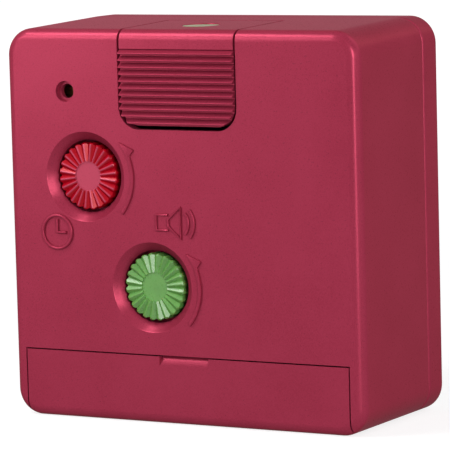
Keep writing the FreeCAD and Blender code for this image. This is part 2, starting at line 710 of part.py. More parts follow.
# Layers of the wheels, front to back
motion_rear = plate_front - layer_gap
motion_front = motion_rear - wheel_width
hour_rear = motion_front - layer_gap
hour_front = hour_rear - wheel_width
alarm_rear = hour_front - layer_gap
alarm_front = alarm_rear - wheel_width
centre_front = plate_rear + layer_gap * 2
centre_rear = centre_front + train_width
third_front = centre_rear + layer_gap * 2
third_rear = third_front + train_width
second_front = third_rear + layer_gap * 2
second_rear = second_front + train_width
idler_front = second_rear + layer_gap * 2
idler_rear = idler_front + train_width
stator_front = idler_rear + layer_gap * 2
stator_thickness = size("stator_thickness", 1.0, "stator plate")
stator_rear = stator_front + stator_thickness
case_inside = plate_rear + case_room
case_rear = case_inside + case_wall
pivot_end = case_rear - fit_gap


# Movement plate and case

def make_movement_plate():
    body = new_body("movement_plate")
    outline = sketch_on(body, "XZ_Plane", "outline", plate_front)
    reach = cavity_half - slide_gap * 2
    rounded_rectangle(outline, -reach, reach, shelf_high + slide_gap * 2, cavity_high - slide_gap * 2, cavity_corner)
    extrude(body, "Pad", outline, plate_thickness, 1)
    stud = sketch_on(body, "XZ_Plane", "minute_stud", plate_front)
    circle(stud, minute_place[0], minute_place[1], stud_radius)
    extrude(body, "Pad", stud, plate_front - hour_front, -1)
    pillars = sketch_on(body, "XZ_Plane", "core_pillars", plate_rear)
    for across in (core_left + core_seat / 2, core_right - core_seat / 2):
        circle(pillars, across, coil_z, pillar_radius)
    extrude(body, "Pad", pillars, core_front - plate_rear, 1)
    stakes = sketch_on(body, "XZ_Plane", "board_stakes", plate_rear)
    for across in (board_left + board_stake_inset, board_right - board_stake_inset):
        circle(stakes, across, board_z, stake_radius)
    extrude(body, "Pad", stakes, board_thickness + stake_head, 1)
    holes = sketch_on(body, "XZ_Plane", "holes", plate_front)
    circle(holes, 0.0, dial_z, centre_tube + running_gap)
    for place in (third_place, intermediate_place, rotor_place):
        circle(holes, place[0], place[1], arbor_radius + running_gap)
    circle(holes, time_knob_x, time_knob_z, stem_radius + running_gap)
    circle(holes, alarm_knob_x, alarm_knob_z, stem_radius + running_gap)
    for across, up in boss_places:
        circle(holes, across, up, screw_radius + slide_gap)
    extrude(body, "Pocket", holes, plate_thickness, 1)
    return body


stud_radius = size("stud_radius", 0.5, "stud that carries the minute wheel")
stake_radius = size("stake_radius", 0.8, "stakes that hold the circuit board")
stake_head = size("stake_head", 0.4, "height of a stake over the board")
pillar_radius = size("pillar_radius", 0.7, "pillars under the coil core")
core_seat = size("core_seat", 2.6, "length of core that lies on a stator leg")
core_thickness = size("core_thickness", 1.0, "thickness of the coil core")
core_width = size("core_width", 2.0, "width of the coil core")
coil_length = size("coil_length", 5.4, "length of the coil between the stator legs")
coil_radius = size("coil_radius", 2.3, "flange radius of the coil bobbin")
winding_radius = size("winding_radius", 2.05, "radius of the winding")
bobbin_radius = size("bobbin_radius", 1.5, "barrel radius of the bobbin")
flange_width = size("flange_width", 0.4, "thickness of a bobbin flange")
coil_rise = size("coil_rise", 7.6, "rotor axis to coil axis")
rotor_to_leg = size("rotor_to_leg", 1.4, "rotor axis to the near stator leg")
magnet_radius = size("magnet_radius", 1.6, "rotor magnet")
magnet_gap = size("magnet_gap", 0.3, "air gap round the magnet")
stator_rim = size("stator_rim", 1.3, "stator metal round the air gap")
core_right = measure(rotor_place[0]) - rotor_to_leg
core_left = core_right - coil_length - core_seat * 2
coil_z = measure(rotor_place[1]) + coil_rise
core_front = stator_front - core_thickness
board_left = -(size("board_reach", 22.0, "dial centre to the circuit board's left edge"))
board_right = size("board_right", 10.0, "dial centre to the circuit board's right edge")
board_z = case_height - size("board_drop", 7.9, "top of the case down to the middle of the circuit board")
board_height = size("board_height", 9.6, "height of the circuit board")
board_thickness = size("board_thickness", 0.8, "circuit board")
board_stake_inset = size("board_stake_inset", 1.8, "board end to a stake")
movement_right = size("movement_right", 7.2, "dial centre to the movement case's right side")
movement_left = size("movement_left", 21.9, "dial centre to the movement case's left side")
movement_top = dial_z + size("movement_rise", 11.3, "dial centre up to the top of the movement case")
notch_left = size("notch_left", 2.4, "dial centre to the clear corner beside the alarm stem")
notch_top = dial_z - size("notch_drop", 6.9, "dial centre down to the top of that clear corner")


def case_outline(inset):
    """Corners of the movement case, drawn in by the inset, with its corner clear of the alarm stem."""
    low = shelf_high + slide_gap * 2 + inset
    left = -movement_left + inset
    right = movement_right - inset
    top = movement_top - inset
    step = notch_left - inset
    return [(left, low), (step, low), (step, notch_top + inset), (right, notch_top + inset), (right, top), (left, top)]


def make_movement_case():
    body = new_body("movement_case")
    outline = sketch_on(body, "XZ_Plane", "outline", plate_rear)
    polygon(outline, case_outline(measure(0.0)))
    extrude(body, "Pad", outline, case_rear - plate_rear, 1)
    room = sketch_on(body, "XZ_Plane", "room", plate_rear)
    polygon(room, case_outline(case_wall))
    extrude(body, "Pocket", room, case_room, 1)
    holes = sketch_on(body, "XZ_Plane", "pivots", case_rear)
    circle(holes, 0.0, dial_z, second_arbor + running_gap)
    for place in (third_place, intermediate_place, rotor_place):
        circle(holes, place[0], place[1], arbor_radius + running_gap)
    extrude(body, "Pocket", holes, case_wall, -1)
    return body


# Motor

def make_stator_plate():
    body = new_body("stator_plate")
    outline = sketch_on(body, "XZ_Plane", "outline", stator_front)
    rotor_x = measure(rotor_place[0])
    rotor_z = measure(rotor_place[1])
    rim = magnet_radius + magnet_gap + stator_rim
    low = rotor_z - rim
    high = rotor_z + rim
    top = coil_z + core_width / 2
    polygon(outline, [
        (core_left, low), (rotor_x + rim, low), (rotor_x + rim, high), (core_right, high),
        (core_right, top), (core_right - core_seat, top), (core_right - core_seat, high),
        (core_left + core_seat, high), (core_left + core_seat, top), (core_left, top),
    ])
    circle(outline, rotor_x, rotor_z, magnet_radius + magnet_gap)
    extrude(body, "Pad", outline, stator_thickness, 1)
    return body


def make_coil():
    """Soft iron core, moulded bobbin and copper winding, all along X behind the plate."""
    core = doc.addObject("Part::Box", "coil_core")
    core.Label = "coil_core"
    bind(core, "Length", core_right - core_left)
    bind(core, "Width", core_thickness)
    bind(core, "Height", core_width)
    bind(core, "Placement.Base.x", core_left)
    bind(core, "Placement.Base.y", core_front)
    bind(core, "Placement.Base.z", coil_z - core_width / 2)
    pieces.append(core)
    start = (core_left + core_seat + fit_gap).value
    length = (coil_length - fit_gap * 2).value
    middle_y = (core_front + core_thickness / 2).value
    foot = V(start, middle_y, coil_z.value)
    flange = flange_width.value
    barrel = Part.makeCylinder(bobbin_radius.value, length, foot, ALONG_X)
    for offset in (0.0, length - flange):
        barrel = barrel.fuse(Part.makeCylinder(coil_radius.value, flange, foot + V(offset, 0, 0), ALONG_X))
    bore_width = (core_thickness + fit_gap * 2).value
    bore_height = (core_width + fit_gap * 2).value
    bore_foot = foot - V(0, bore_width / 2, bore_height / 2)
    free_piece("coil_bobbin", barrel.cut(Part.makeBox(length, bore_width, bore_height, bore_foot)))
    winding = Part.makeCylinder(winding_radius.value, length - 2 * flange, foot + V(flange, 0, 0), ALONG_X)
    core_tube = Part.makeCylinder(bobbin_radius.value, length - 2 * flange, foot + V(flange, 0, 0), ALONG_X)
    free_piece("coil_winding", winding.cut(core_tube))


# Wheel train, from the rotor to the centre wheel

def make_wheel_train():
    pinion_margin = layer_gap.value
    rotor_phase = 0.0
    idler_wheel_phase = meshing_phase(rotor_place, ROTOR_TEETH, rotor_phase, intermediate_place, INTERMEDIATE_TEETH)
    idler_pinion_phase = 0.0
    second_phase = meshing_phase(intermediate_place, SMALL_PINION, idler_pinion_phase, centre_place, SECOND_TEETH)
    second_pinion_phase = 0.0
    third_phase = meshing_phase(centre_place, SMALL_PINION, second_pinion_phase, third_place, THIRD_TEETH)
    third_pinion_phase = 0.0
    centre_phase = meshing_phase(third_place, THIRD_PINION, third_pinion_phase, centre_place, CENTRE_TEETH)
    width = train_width.value
    pinion_width = width + 2 * pinion_margin

    def pinion(teeth, module, phase, front):
        return toothed(teeth, module, phase, front.value - pinion_margin, pinion_width)

    arbor_front = plate_front + fit_gap
    magnet_front = stator_front - fit_gap * 2
    magnet_rear = stator_rear + fit_gap * 2
    rotor = rod(arbor_radius, arbor_front, pivot_end)
    rotor = rotor.fuse(pinion(ROTOR_TEETH, rotor_module.value, rotor_phase, idler_front))
    free_piece("rotor_pinion", rotor, *rotor_place)
    free_piece("rotor_magnet", rod(magnet_radius, magnet_front, magnet_rear, arbor_radius), *rotor_place)

    idler = rod(arbor_radius, arbor_front, pivot_end)
    idler = idler.fuse(toothed(INTERMEDIATE_TEETH, rotor_module.value, idler_wheel_phase, idler_front.value, width))
    idler = idler.fuse(pinion(SMALL_PINION, second_module.value, idler_pinion_phase, second_front))
    free_piece("intermediate_wheel", idler, *intermediate_place)

    second = rod(second_arbor, second_hand_y - hand_gap / 2, pivot_end)
    second = second.fuse(toothed(SECOND_TEETH, second_module.value, second_phase, second_front.value, width))
    second = second.fuse(pinion(SMALL_PINION, third_module.value, second_pinion_phase, third_front))
    free_piece("second_wheel", second, *centre_place)

    third = rod(arbor_radius, arbor_front, pivot_end)
    third = third.fuse(toothed(THIRD_TEETH, third_module.value, third_phase, third_front.value, width))
    third = third.fuse(pinion(THIRD_PINION, centre_module, third_pinion_phase, centre_front))
    free_piece("third_wheel", third, *third_place)

    tube_bore = second_arbor + running_gap
    wheel = toothed(CENTRE_TEETH, centre_module, centre_phase, centre_front.value, width)
    wheel = wheel.cut(rod(tube_bore, centre_front, centre_rear))
    wheel = wheel.fuse(rod(centre_tube, minute_hand_y + hand_thickness, centre_rear, tube_bore))
    free_piece("centre_wheel", wheel, *centre_place)


# Motion work, from the setting pinions to the hands

def make_motion_work():
    width = wheel_width.value
    cannon_phase = 0.0
    minute_phase = meshing_phase(centre_place, SETTING_PINION, cannon_phase, minute_place, MINUTE_TEETH)
    time_phase = meshing_phase(minute_place, MINUTE_TEETH, minute_phase, time_place, SETTING_PINION)
    hour_phase = 0.0
    minute_pinion_phase = meshing_phase(centre_place, HOUR_TEETH, hour_phase, minute_place, MINUTE_PINION)
    alarm_wheel_phase = 0.0
    alarm_phase = meshing_phase(centre_place, ALARM_TEETH, alarm_wheel_phase, alarm_place, SETTING_PINION)

    bore = centre_tube + running_gap
    cannon = toothed(SETTING_PINION, motion_module.value, cannon_phase, motion_front.value, width)
    cannon = cannon.fuse(rod(minute_pipe, minute_hand_y, motion_front))
    cannon = cannon.cut(rod(bore, minute_hand_y, motion_rear))
    free_piece("cannon_pinion", cannon, *centre_place)

    minute = toothed(MINUTE_TEETH, motion_module.value, minute_phase, motion_front.value, width)
    pinion_width = (motion_front - hour_front).value
    minute = minute.fuse(toothed(MINUTE_PINION, hour_module, minute_pinion_phase, hour_front.value, pinion_width))
    minute = minute.cut(rod(stud_radius + running_gap, hour_front, motion_rear))
    free_piece("minute_wheel", minute, *minute_place)

    hour = toothed(HOUR_TEETH, hour_module, hour_phase, hour_front.value, width)
    hour = hour.fuse(rod(hour_pipe, hour_hand_y, hour_front))
    hour = hour.cut(rod(minute_pipe + running_gap, hour_hand_y, hour_rear))
    free_piece("hour_wheel", hour, *centre_place)

    alarm = toothed(ALARM_TEETH, alarm_module, alarm_wheel_phase, alarm_front.value, width)
    alarm = alarm.fuse(rod(alarm_pipe, alarm_hand_y, alarm_front))
    alarm = alarm.cut(rod(hour_pipe + running_gap, alarm_hand_y, alarm_rear))
    free_piece("alarm_wheel", alarm, *centre_place)

    setter = toothed(SETTING_PINION, motion_module.value, time_phase, motion_front.value, width)
    free_piece("time_set_pinion", setter.cut(rod(stem_radius, motion_front, motion_rear)), *time_place)
    setter = toothed(SETTING_PINION, alarm_module, alarm_phase, alarm_front.value, width)
    free_piece("alarm_set_pinion", setter.cut(rod(stem_radius, alarm_front, alarm_rear)), *alarm_place)


# Knobs

def make_knob(label, across, up, stem_front):
    """A fluted crown with a plain sunk boss and a long stem, turned about its own axis."""
    body = new_body(label)
    outline = sketch_on(body, "XY_Plane", "outline")
    between_flutes = FreeCAD.Rotation(ALONG_Y, 180.0 / rib_count.value)
    outline.AttachmentOffset = FreeCAD.Placement(V(0, 0, 0), between_flutes)
    rim = back_plane - knob_sink
    boss = rim - boss_sink
    foot = well_floor + knob_lift
    turn(body, "Revolution", outline, [
        (0.0, stem_front), (stem_radius, stem_front), (stem_radius, foot), (knob_radius, foot),
        (knob_radius, rim - knob_edge), (knob_radius - knob_edge, rim), (knob_boss_radius, rim),
        (knob_boss_radius, boss), (0.0, boss),
    ], 0.0, stem_front, rim)
    wide = knob_radius + flute_depth
    narrow_cut = flute_section(body, "flute_start", knob_boss_radius - knob_edge, rim)
    wide_cut = flute_section(body, "flute_end", wide, rim)
    face_flute = body.newObject("PartDesign::SubtractiveLoft", label + "_face_flute")
    face_flute.Profile = narrow_cut
    face_flute.Sections = [wide_cut]
    face_flute.Ruled = True
    doc.recompute()
    side_cut = sketch_on(body, "XZ_Plane", "side_flute", rim)
    spread = flute_half(knob_radius) * (side_flute_depth + flute_depth) / side_flute_depth
    polygon(side_cut, [(knob_radius - side_flute_depth, 0.0), (wide, -spread), (wide, spread)])
    side_flute = extrude(body, "Pocket", side_cut, rim - foot, -1)
    round_pattern = body.newObject("PartDesign::PolarPattern", label + "_flutes")
    round_pattern.Originals = [face_flute, side_flute]
    round_pattern.Axis = (side_cut, ["N_Axis"])
    round_pattern.Angle = 360
    bind(round_pattern, "Occurrences", rib_count)
    body.Tip = round_pattern
    body.Placement = FreeCAD.Placement(V(across.value, 0, up.value), FreeCAD.Rotation())
    doc.recompute()
    return body


def flute_half(across):
    """Half the width of a flute at this distance from the knob's axis."""
    return across * flute_share * math.pi / rib_count


def flute_section(body, name, across, rim):
    """A V across the crown's face, open towards the back, deeper and wider the further out it lies."""
    depth = flute_depth * across / knob_radius
    half = flute_half(across) * (depth + fit_gap) / depth
    drawing = sketch_on(body, "YZ_Plane", name, across)
    polygon(drawing, [(rim + fit_gap, -half), (rim - depth, 0.0), (rim + fit_gap, half)])
    return drawing


knob_edge = size("knob_edge", 0.3, "rounding at the crown's rim")
stem_proud = size("stem_proud", 0.2, "how far a stem stands out of its pinion")


def make_knobs():
    make_knob("time_knob", time_knob_x, time_knob_z, motion_front - stem_proud)
    make_knob("alarm_knob", alarm_knob_x, alarm_knob_z, alarm_front - stem_proud)


# Alarm key, its marker and the slide behind it

top_slope = top_slope_drop / (back_plane - seam)
key_front = back_plane - key_reach
key_inside = back_plane - key_plate
rib_root = size("rib_root", 0.3, "depth of the ribs' band in the key")
rib_tip = size("rib_tip", 0.16, "flat on the crest of a rib")
key_foot_width = size("key_foot_width", 2.0, "width and depth of a foot under the key")
key_foot_place = size("key_foot_place", 4.0, "middle of the key to the middle of a foot")
key_foot_back = size("key_foot_back", 7.6, "back plane to the middle of the key's feet")
carriage_low = case_height - size("carriage_drop", 13.0, "top of the case down to the carriage's lower edge")
carriage_top = case_height - size("carriage_shelf_drop", 5.8, "top of the case down to the carriage's shelf")
carriage_wall = size("carriage_wall", 1.3, "thickness of the carriage")
carriage_rear = back_inside - slide_gap * 2
carriage_half = slot_half + carriage_wing
shelf_half = size("shelf_half", 6.0, "half the width of the carriage's shelf")
wiper_half = size("wiper_half", 3.0, "half the width of the leg that carries the wiper")
wiper_drop = size("wiper_drop", 5.2, "height of that leg")
wiper_reach = size("wiper_reach", 1.5, "board to the leg that carries the wiper")
wiper_sheet = size("wiper_sheet", 0.25, "thickness of the wiper")
board_rear = plate_rear + board_thickness
leg_front = board_rear + wiper_reach
marker_y = back_plane - marker_back


def top_at(depth):
    """Height of the case's sloping top at a place between the seam and the back plane."""
    return case_height - top_slope * (depth - seam)


def make_alarm_key():
    body = new_body("alarm_key")
    side = sketch_on(body, "YZ_Plane", "side")
    polygon(side, [
        (key_front, top_at(key_front)), (key_front, top_at(key_front) - key_plate),
        (key_inside, top_at(key_inside) - key_plate), (key_inside, key_bottom),
        (back_plane, key_bottom), (back_plane, top_at(back_plane)),
    ])
    extrude(body, "Pad", side, key_width, 0)
    crown = top_at(back_plane).value
    fillet(body, "bend", rear_round, lambda edge: spans(edge, "y", back_plane.value, back_plane.value)
           and spans(edge, "z", crown, crown))
    band = sketch_on(body, "XZ_Plane", "rib_band", back_plane)
    reach = key_width / 2 + fit_gap
    rectangle(band, -reach, reach, key_bottom - fit_gap, first_rib + rib_height)
    extrude(body, "Pocket", band, rib_root, -1)
    rib = sketch_on(body, "YZ_Plane", "rib")
    root = back_plane - rib_root
    crest = back_plane + rib_proud
    polygon(rib, [
        (root, first_rib - rib_tip), (crest, first_rib - rib_tip / 2), (crest, first_rib + rib_tip / 2),
        (root, first_rib + rib_height),
    ])
    first = extrude(body, "Pad", rib, key_width, 0)
    row = body.newObject("PartDesign::LinearPattern", "alarm_key_ribs")
    row.Originals = [first]
    row.Direction = (rib, ["V_Axis"])
    row.Reversed = True
    bind(row, "Length", rib_pitch * (grip_ribs - 1))
    bind(row, "Occurrences", grip_ribs)
    body.Tip = row
    doc.recompute()
    trim = sketch_on(body, "XZ_Plane", "corner_trim", back_plane + rib_proud)
    out = key_width / 2 + key_corner
    rectangle(trim, -out, out, key_bottom - key_corner, case_height + key_corner * 2)
    half = key_width / 2
    rounded_rectangle(trim, -half, half, key_bottom, case_height + key_corner, key_corner)
    extrude(body, "Pocket", trim, rib_proud + key_plate, -1)
    feet = sketch_on(body, "XY_Plane", "feet", top_at(back_plane) - key_plate)
    foot_y = back_plane - key_foot_back
    for side in (-1, 1):
        middle = key_foot_place * side
        rectangle(feet, middle - key_foot_width / 2, middle + key_foot_width / 2,
                  foot_y - key_foot_width / 2, foot_y + key_foot_width / 2)
    foot_top = top_at(foot_y) - key_plate
    foot_low = carriage_top + press_travel + slide_gap
    extrude(body, "Pad", feet, top_at(back_plane) - key_plate - foot_low, -1)
    joint = sketch_on(body, "XY_Plane", "feet_root", top_at(back_plane) - key_plate)
    for side in (-1, 1):
        middle = key_foot_place * side
        rectangle(joint, middle - key_foot_width / 2, middle + key_foot_width / 2,
                  foot_y - key_foot_width / 2, foot_y + key_foot_width / 2)
    extrude(body, "Pad", joint, foot_top - top_at(back_plane) + key_plate * 1.5, 1)
    seat = sketch_on(body, "XY_Plane", "marker_seat", case_height)
    circle(seat, 0.0, marker_y, marker_radius + fit_gap)
    extrude(body, "Pocket", seat, case_height - top_at(marker_y) + marker_thickness, -1)
    return body


def make_alarm_marker():
    marker = doc.addObject("Part::Cylinder", "alarm_marker")
    marker.Label = "alarm_marker"
    bind(marker, "Radius", marker_radius)
    bind(marker, "Height", marker_thickness - fit_gap)
    bind(marker, "Placement.Base.y", marker_y)
    bind(marker, "Placement.Base.z", top_at(marker_y) - marker_thickness)
    pieces.append(marker)


def make_switch_carriage():
    body = new_body("switch_carriage")
    plate = sketch_on(body, "XZ_Plane", "plate", carriage_rear)
    rectangle(plate, -carriage_half, carriage_half, carriage_low, carriage_top)
    extrude(body, "Pad", plate, carriage_wall, -1)
    shelf = sketch_on(body, "XZ_Plane", "shelf", carriage_rear - carriage_wall)
    rectangle(shelf, -shelf_half, shelf_half, carriage_top - carriage_wall, carriage_top)
    extrude(body, "Pad", shelf, carriage_rear - carriage_wall - leg_front, -1)
    leg = sketch_on(body, "XZ_Plane", "leg", leg_front)
    rectangle(leg, -wiper_half, wiper_half, carriage_top - wiper_drop, carriage_top)
    extrude(body, "Pad", leg, carriage_wall, 1)
    return body


def make_switch_wiper():
    """A bent leaf on the carriage's leg whose bow all but touches the circuit board."""
    body = new_body("switch_wiper")
    side = sketch_on(body, "YZ_Plane", "side")
    top = carriage_top - wiper_sheet
    low = carriage_top - wiper_drop + wiper_sheet
    middle = (top + low) / 2
    bow = board_rear + slide_gap
    polygon(side, [
        (leg_front, top), (bow, middle), (leg_front, low), (leg_front, low + wiper_sheet * 2),
        (bow + wiper_sheet, middle), (leg_front, top - wiper_sheet * 2),
    ])
    extrude(body, "Pad", side, wiper_half, 0)
    return body


def make_key_spring():
    """A leaf that rises from the carriage's shelf to just under the pressed key."""
    body = new_body("key_spring")
    side = sketch_on(body, "YZ_Plane", "side")
    rear = carriage_rear - carriage_wall - slide_gap
    front = key_front + key_plate * 2
    tip = top_at(front) - key_plate - press_travel - slide_gap
    polygon(side, [
        (rear, carriage_top), (rear, carriage_top + wiper_sheet), (front + wiper_sheet, tip), (front, tip),
        (front, tip - wiper_sheet), (rear - wiper_sheet * 2, carriage_top),
    ])
    extrude(body, "Pad", side, wiper_half, 0)
    return body


# Circuit board and what it carries

chip_radius = size("chip_radius", 2.4, "radius of the moulded chip cover")
chip_height = size("chip_height", 0.9, "height of the chip cover")
chip_x = size("chip_x", 15.6, "dial centre to the chip cover, on the side away from the buzzer")
crystal_radius = size("crystal_radius", 0.95, "radius of the quartz crystal's can")
crystal_length = size("crystal_length", 5.8, "length of the quartz crystal's can")
crystal_drop = size("crystal_drop", 3.4, "board middle to the crystal")


def make_circuit_board():
    body = new_body("circuit_board")
    outline = sketch_on(body, "XZ_Plane", "outline", plate_rear)
    half = board_height / 2
    rectangle(outline, board_left, board_right, board_z - half, board_z + half)
    for across in (board_left + board_stake_inset, board_right - board_stake_inset):
        circle(outline, across, board_z, stake_radius + fit_gap)
    extrude(body, "Pad", outline, board_thickness, 1)
    return body


def make_chip_cover():
    """A dome of black resin over the bare chip."""
    height = chip_height.value
    radius = (chip_radius.value ** 2 + height ** 2) / (2 * height)
    ball = Part.makeSphere(radius, V(0, board_rear.value + height - radius, 0))
    room = Part.makeCylinder(chip_radius.value, height, V(0, board_rear.value, 0), ALONG_Y)
    free_piece("chip_cover", ball.common(room), -chip_x, board_z)


def make_quartz_crystal():
    can = doc.addObject("Part::Cylinder", "quartz_crystal")
    can.Label = "quartz_crystal"
    can.Placement = FreeCAD.Placement(V(0, 0, 0), FreeCAD.Rotation(ALONG_Y, 90))
    bind(can, "Radius", crystal_radius)
    bind(can, "Height", crystal_length)
    bind(can, "Placement.Base.x", -chip_x - crystal_length / 2)
    bind(can, "Placement.Base.y", board_rear + crystal_radius)
    bind(can, "Placement.Base.z", board_z - crystal_drop)
    pieces.append(can)


# Buzzer

def make_buzzer():
    ring = new_body("buzzer_ring")
    outline = sketch_on(ring, "XY_Plane", "outline", buzzer_z)
    disc_rear = back_inside - buzzer_air
    lip = disc_rear - buzzer_thickness * 2
    inner = buzzer_x + buzzer_radius + fit_gap
    ledge = buzzer_x + buzzer_radius - buzzer_wall
    turn(ring, "Revolution", outline, [
        (ledge, back_inside), (inner + buzzer_wall, back_inside), (inner + buzzer_wall, lip), (inner, lip),
        (inner, disc_rear), (ledge, disc_rear),
    ], buzzer_x, lip, back_inside)
    disc = doc.addObject("Part::Cylinder", "buzzer_disc")
    disc.Label = "buzzer_disc"
    disc.Placement = FreeCAD.Placement(V(0, 0, 0), FreeCAD.Rotation(ALONG_X, 90))
    bind(disc, "Radius", buzzer_radius)
    bind(disc, "Height", buzzer_thickness)
    bind(disc, "Placement.Base.x", buzzer_x)
    bind(disc, "Placement.Base.y", disc_rear)
    bind(disc, "Placement.Base.z", buzzer_z)
    pieces.append(disc)


# Battery bay

contact_half = size("contact_half", 4.0, "half the width of a battery contact")
plus_end = cavity_half - contact_sheet - fit_gap
minus_end = -cavity_half + size("spring_room", 2.05, "side wall to the cell's minus end")


def make_battery_cell():
    """A round cell along X, its nub towards +X."""
    shoulder = (plus_end - cell_nub).value
    length = shoulder - minus_end.value
    foot = V(minus_end.value, 0, cell_z.value)
    can = Part.makeCylinder(cell_radius.value, length, foot, ALONG_X)
    can = can.makeChamfer(cell_edge.value, [can.Edges[0], can.Edges[2]])
    nub = Part.makeCylinder(cell_nub_radius.value, cell_nub.value, V(shoulder, 0, cell_z.value), ALONG_X)
    free_piece("battery_cell", can.fuse(nub))


cell_edge = size("cell_edge", 0.5, "bevel of the cell's ends")


def make_battery_contacts():
    plus = new_body("battery_contact_plus")
    plate = sketch_on(plus, "YZ_Plane", "plate", cavity_half - contact_sheet)
    rectangle(plate, -contact_half, contact_half, cell_z - contact_half, cell_z + contact_half)
    extrude(plus, "Pad", plate, contact_sheet, 1)
    minus = new_body("battery_contact_minus")
    leaf = sketch_on(minus, "XY_Plane", "leaf", cell_z)
    polygon(leaf, [
        (-cavity_half, -contact_half), (-cavity_half + contact_sheet, -contact_half), (minus_end - fit_gap, 0.0),
        (-cavity_half + contact_sheet, contact_half), (-cavity_half, contact_half),
        (minus_end - fit_gap - contact_sheet * 1.2, 0.0),
    ])
    extrude(minus, "Pad", leaf, contact_half * 1.5, 0)


def make_battery_cover():
    """Cut from the same rounded form as the housing, so that both surfaces run on into each other."""
    body = new_body("battery_cover")
    front = back_plane - cover_reach
    past = back_plane + fit_gap
    side = sketch_on(body, "YZ_Plane", "side")
    rectangle(side, front, back_plane, 0.0, cover_top)
    extrude(body, "Pad", side, case_width, 0)
    fillet(body, "corners", corner_radius, lambda edge: spans(edge, "y", front.value, back_plane.value)
           and spans(edge, "z", 0.0, 0.0))
    fillet(body, "back_rounding", rear_round, lambda edge: spans(edge, "y", back_plane.value, back_plane.value)
           and not spans(edge, "z", cover_top.value, cover_top.value))
    hollow = sketch_on(body, "YZ_Plane", "hollow")
    rectangle(hollow, front - fit_gap, back_plane - cover_wall, cover_wall, cover_top + fit_gap)
    extrude(body, "Pocket", hollow, case_width, 0)
    sides = sketch_on(body, "XZ_Plane", "sides", past)
    cut_from = cavity_half - cover_gap
    for left, right in ((-case_width, -cut_from), (cut_from, case_width)):
        rectangle(sides, left, right, -fit_gap, cover_top + fit_gap)
    extrude(body, "Pocket", sides, cover_reach + fit_gap * 2, -1)
    notch = sketch_on(body, "YZ_Plane", "notch")
    polygon(notch, [
        (past, cover_top - notch_height), (past, cover_top + fit_gap),
        (back_plane - notch_depth, cover_top + fit_gap), (back_plane - notch_depth, cover_top - fit_gap * 2),
    ])
    extrude(body, "Pocket", notch, notch_width, 0)
    tabs = sketch_on(body, "XZ_Plane", "tabs", front)
    for side in (-1, 1):
        middle = tab_place * side
        rectangle(tabs, middle - tab_width / 2, middle + tab_width / 2, cover_wall - tab_thickness, cover_wall)
    extrude(body, "Pad", tabs, tab_length, -1)
    return body


# Fasteners

def make_movement_screws():
    """Three pan head screws that hold the movement plate to the housing's bosses."""
    head_height = screw_head.value * 0.6
    slot_width = screw_head.value * 0.25
    head_front = plate_front - head_height
    screws = []
    for across, up in boss_places:
        screw = rod(screw_head, head_front, plate_front)
        screw = screw.fuse(rod(screw_radius, plate_front, plate_front + screw_length))
        for long_side, short_side in ((1.2, 0.25), (0.25, 1.2)):
            width = screw_head.value * long_side
            height = screw_head.value * short_side
            foot = V(-width / 2, head_front.value, -height / 2)
            screw = screw.cut(Part.makeBox(width, slot_width, height, foot))
        screw.translate(V(measure(across).value, 0, measure(up).value))
        screws.append(screw)
    free_piece("movement_screws", Part.makeCompound(screws))


def finish():
    """Checks every object, then writes each piece to its own file."""
    doc.recompute()
    for item in doc.Objects:
        if "Invalid" in item.State or "Error" in item.State:
            raise ValueError(item.Label + " did not build")
    os.makedirs("parts", exist_ok=True)
    for piece in pieces:
        shape = piece.Shape
        if shape.isNull() or not shape.isValid():
            raise ValueError(piece.Label + " has no valid shape")
    for piece in pieces:
        piece.Shape.exportStep("parts/%s.step" % piece.Label)


make_rear_housing()
make_front_bezel()
make_front_lens()
make_dial_plate()
make_hands()
make_movement_plate()
make_movement_case()
make_stator_plate()
make_coil()
make_wheel_train()
make_motion_work()
make_knobs()
make_alarm_key()
make_alarm_marker()
make_switch_carriage()
make_switch_wiper()
make_key_spring()
make_circuit_board()
make_chip_cover()
make_quartz_crystal()
make_buzzer()
make_battery_cell()
make_battery_contacts()
make_battery_cover()
make_movement_screws()
finish()
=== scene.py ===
"""Dresses a travel alarm clock: lacquered case, fluted knobs, raised signs, dial, movement and stage."""
import json
import math

import bpy
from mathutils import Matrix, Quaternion, Vector

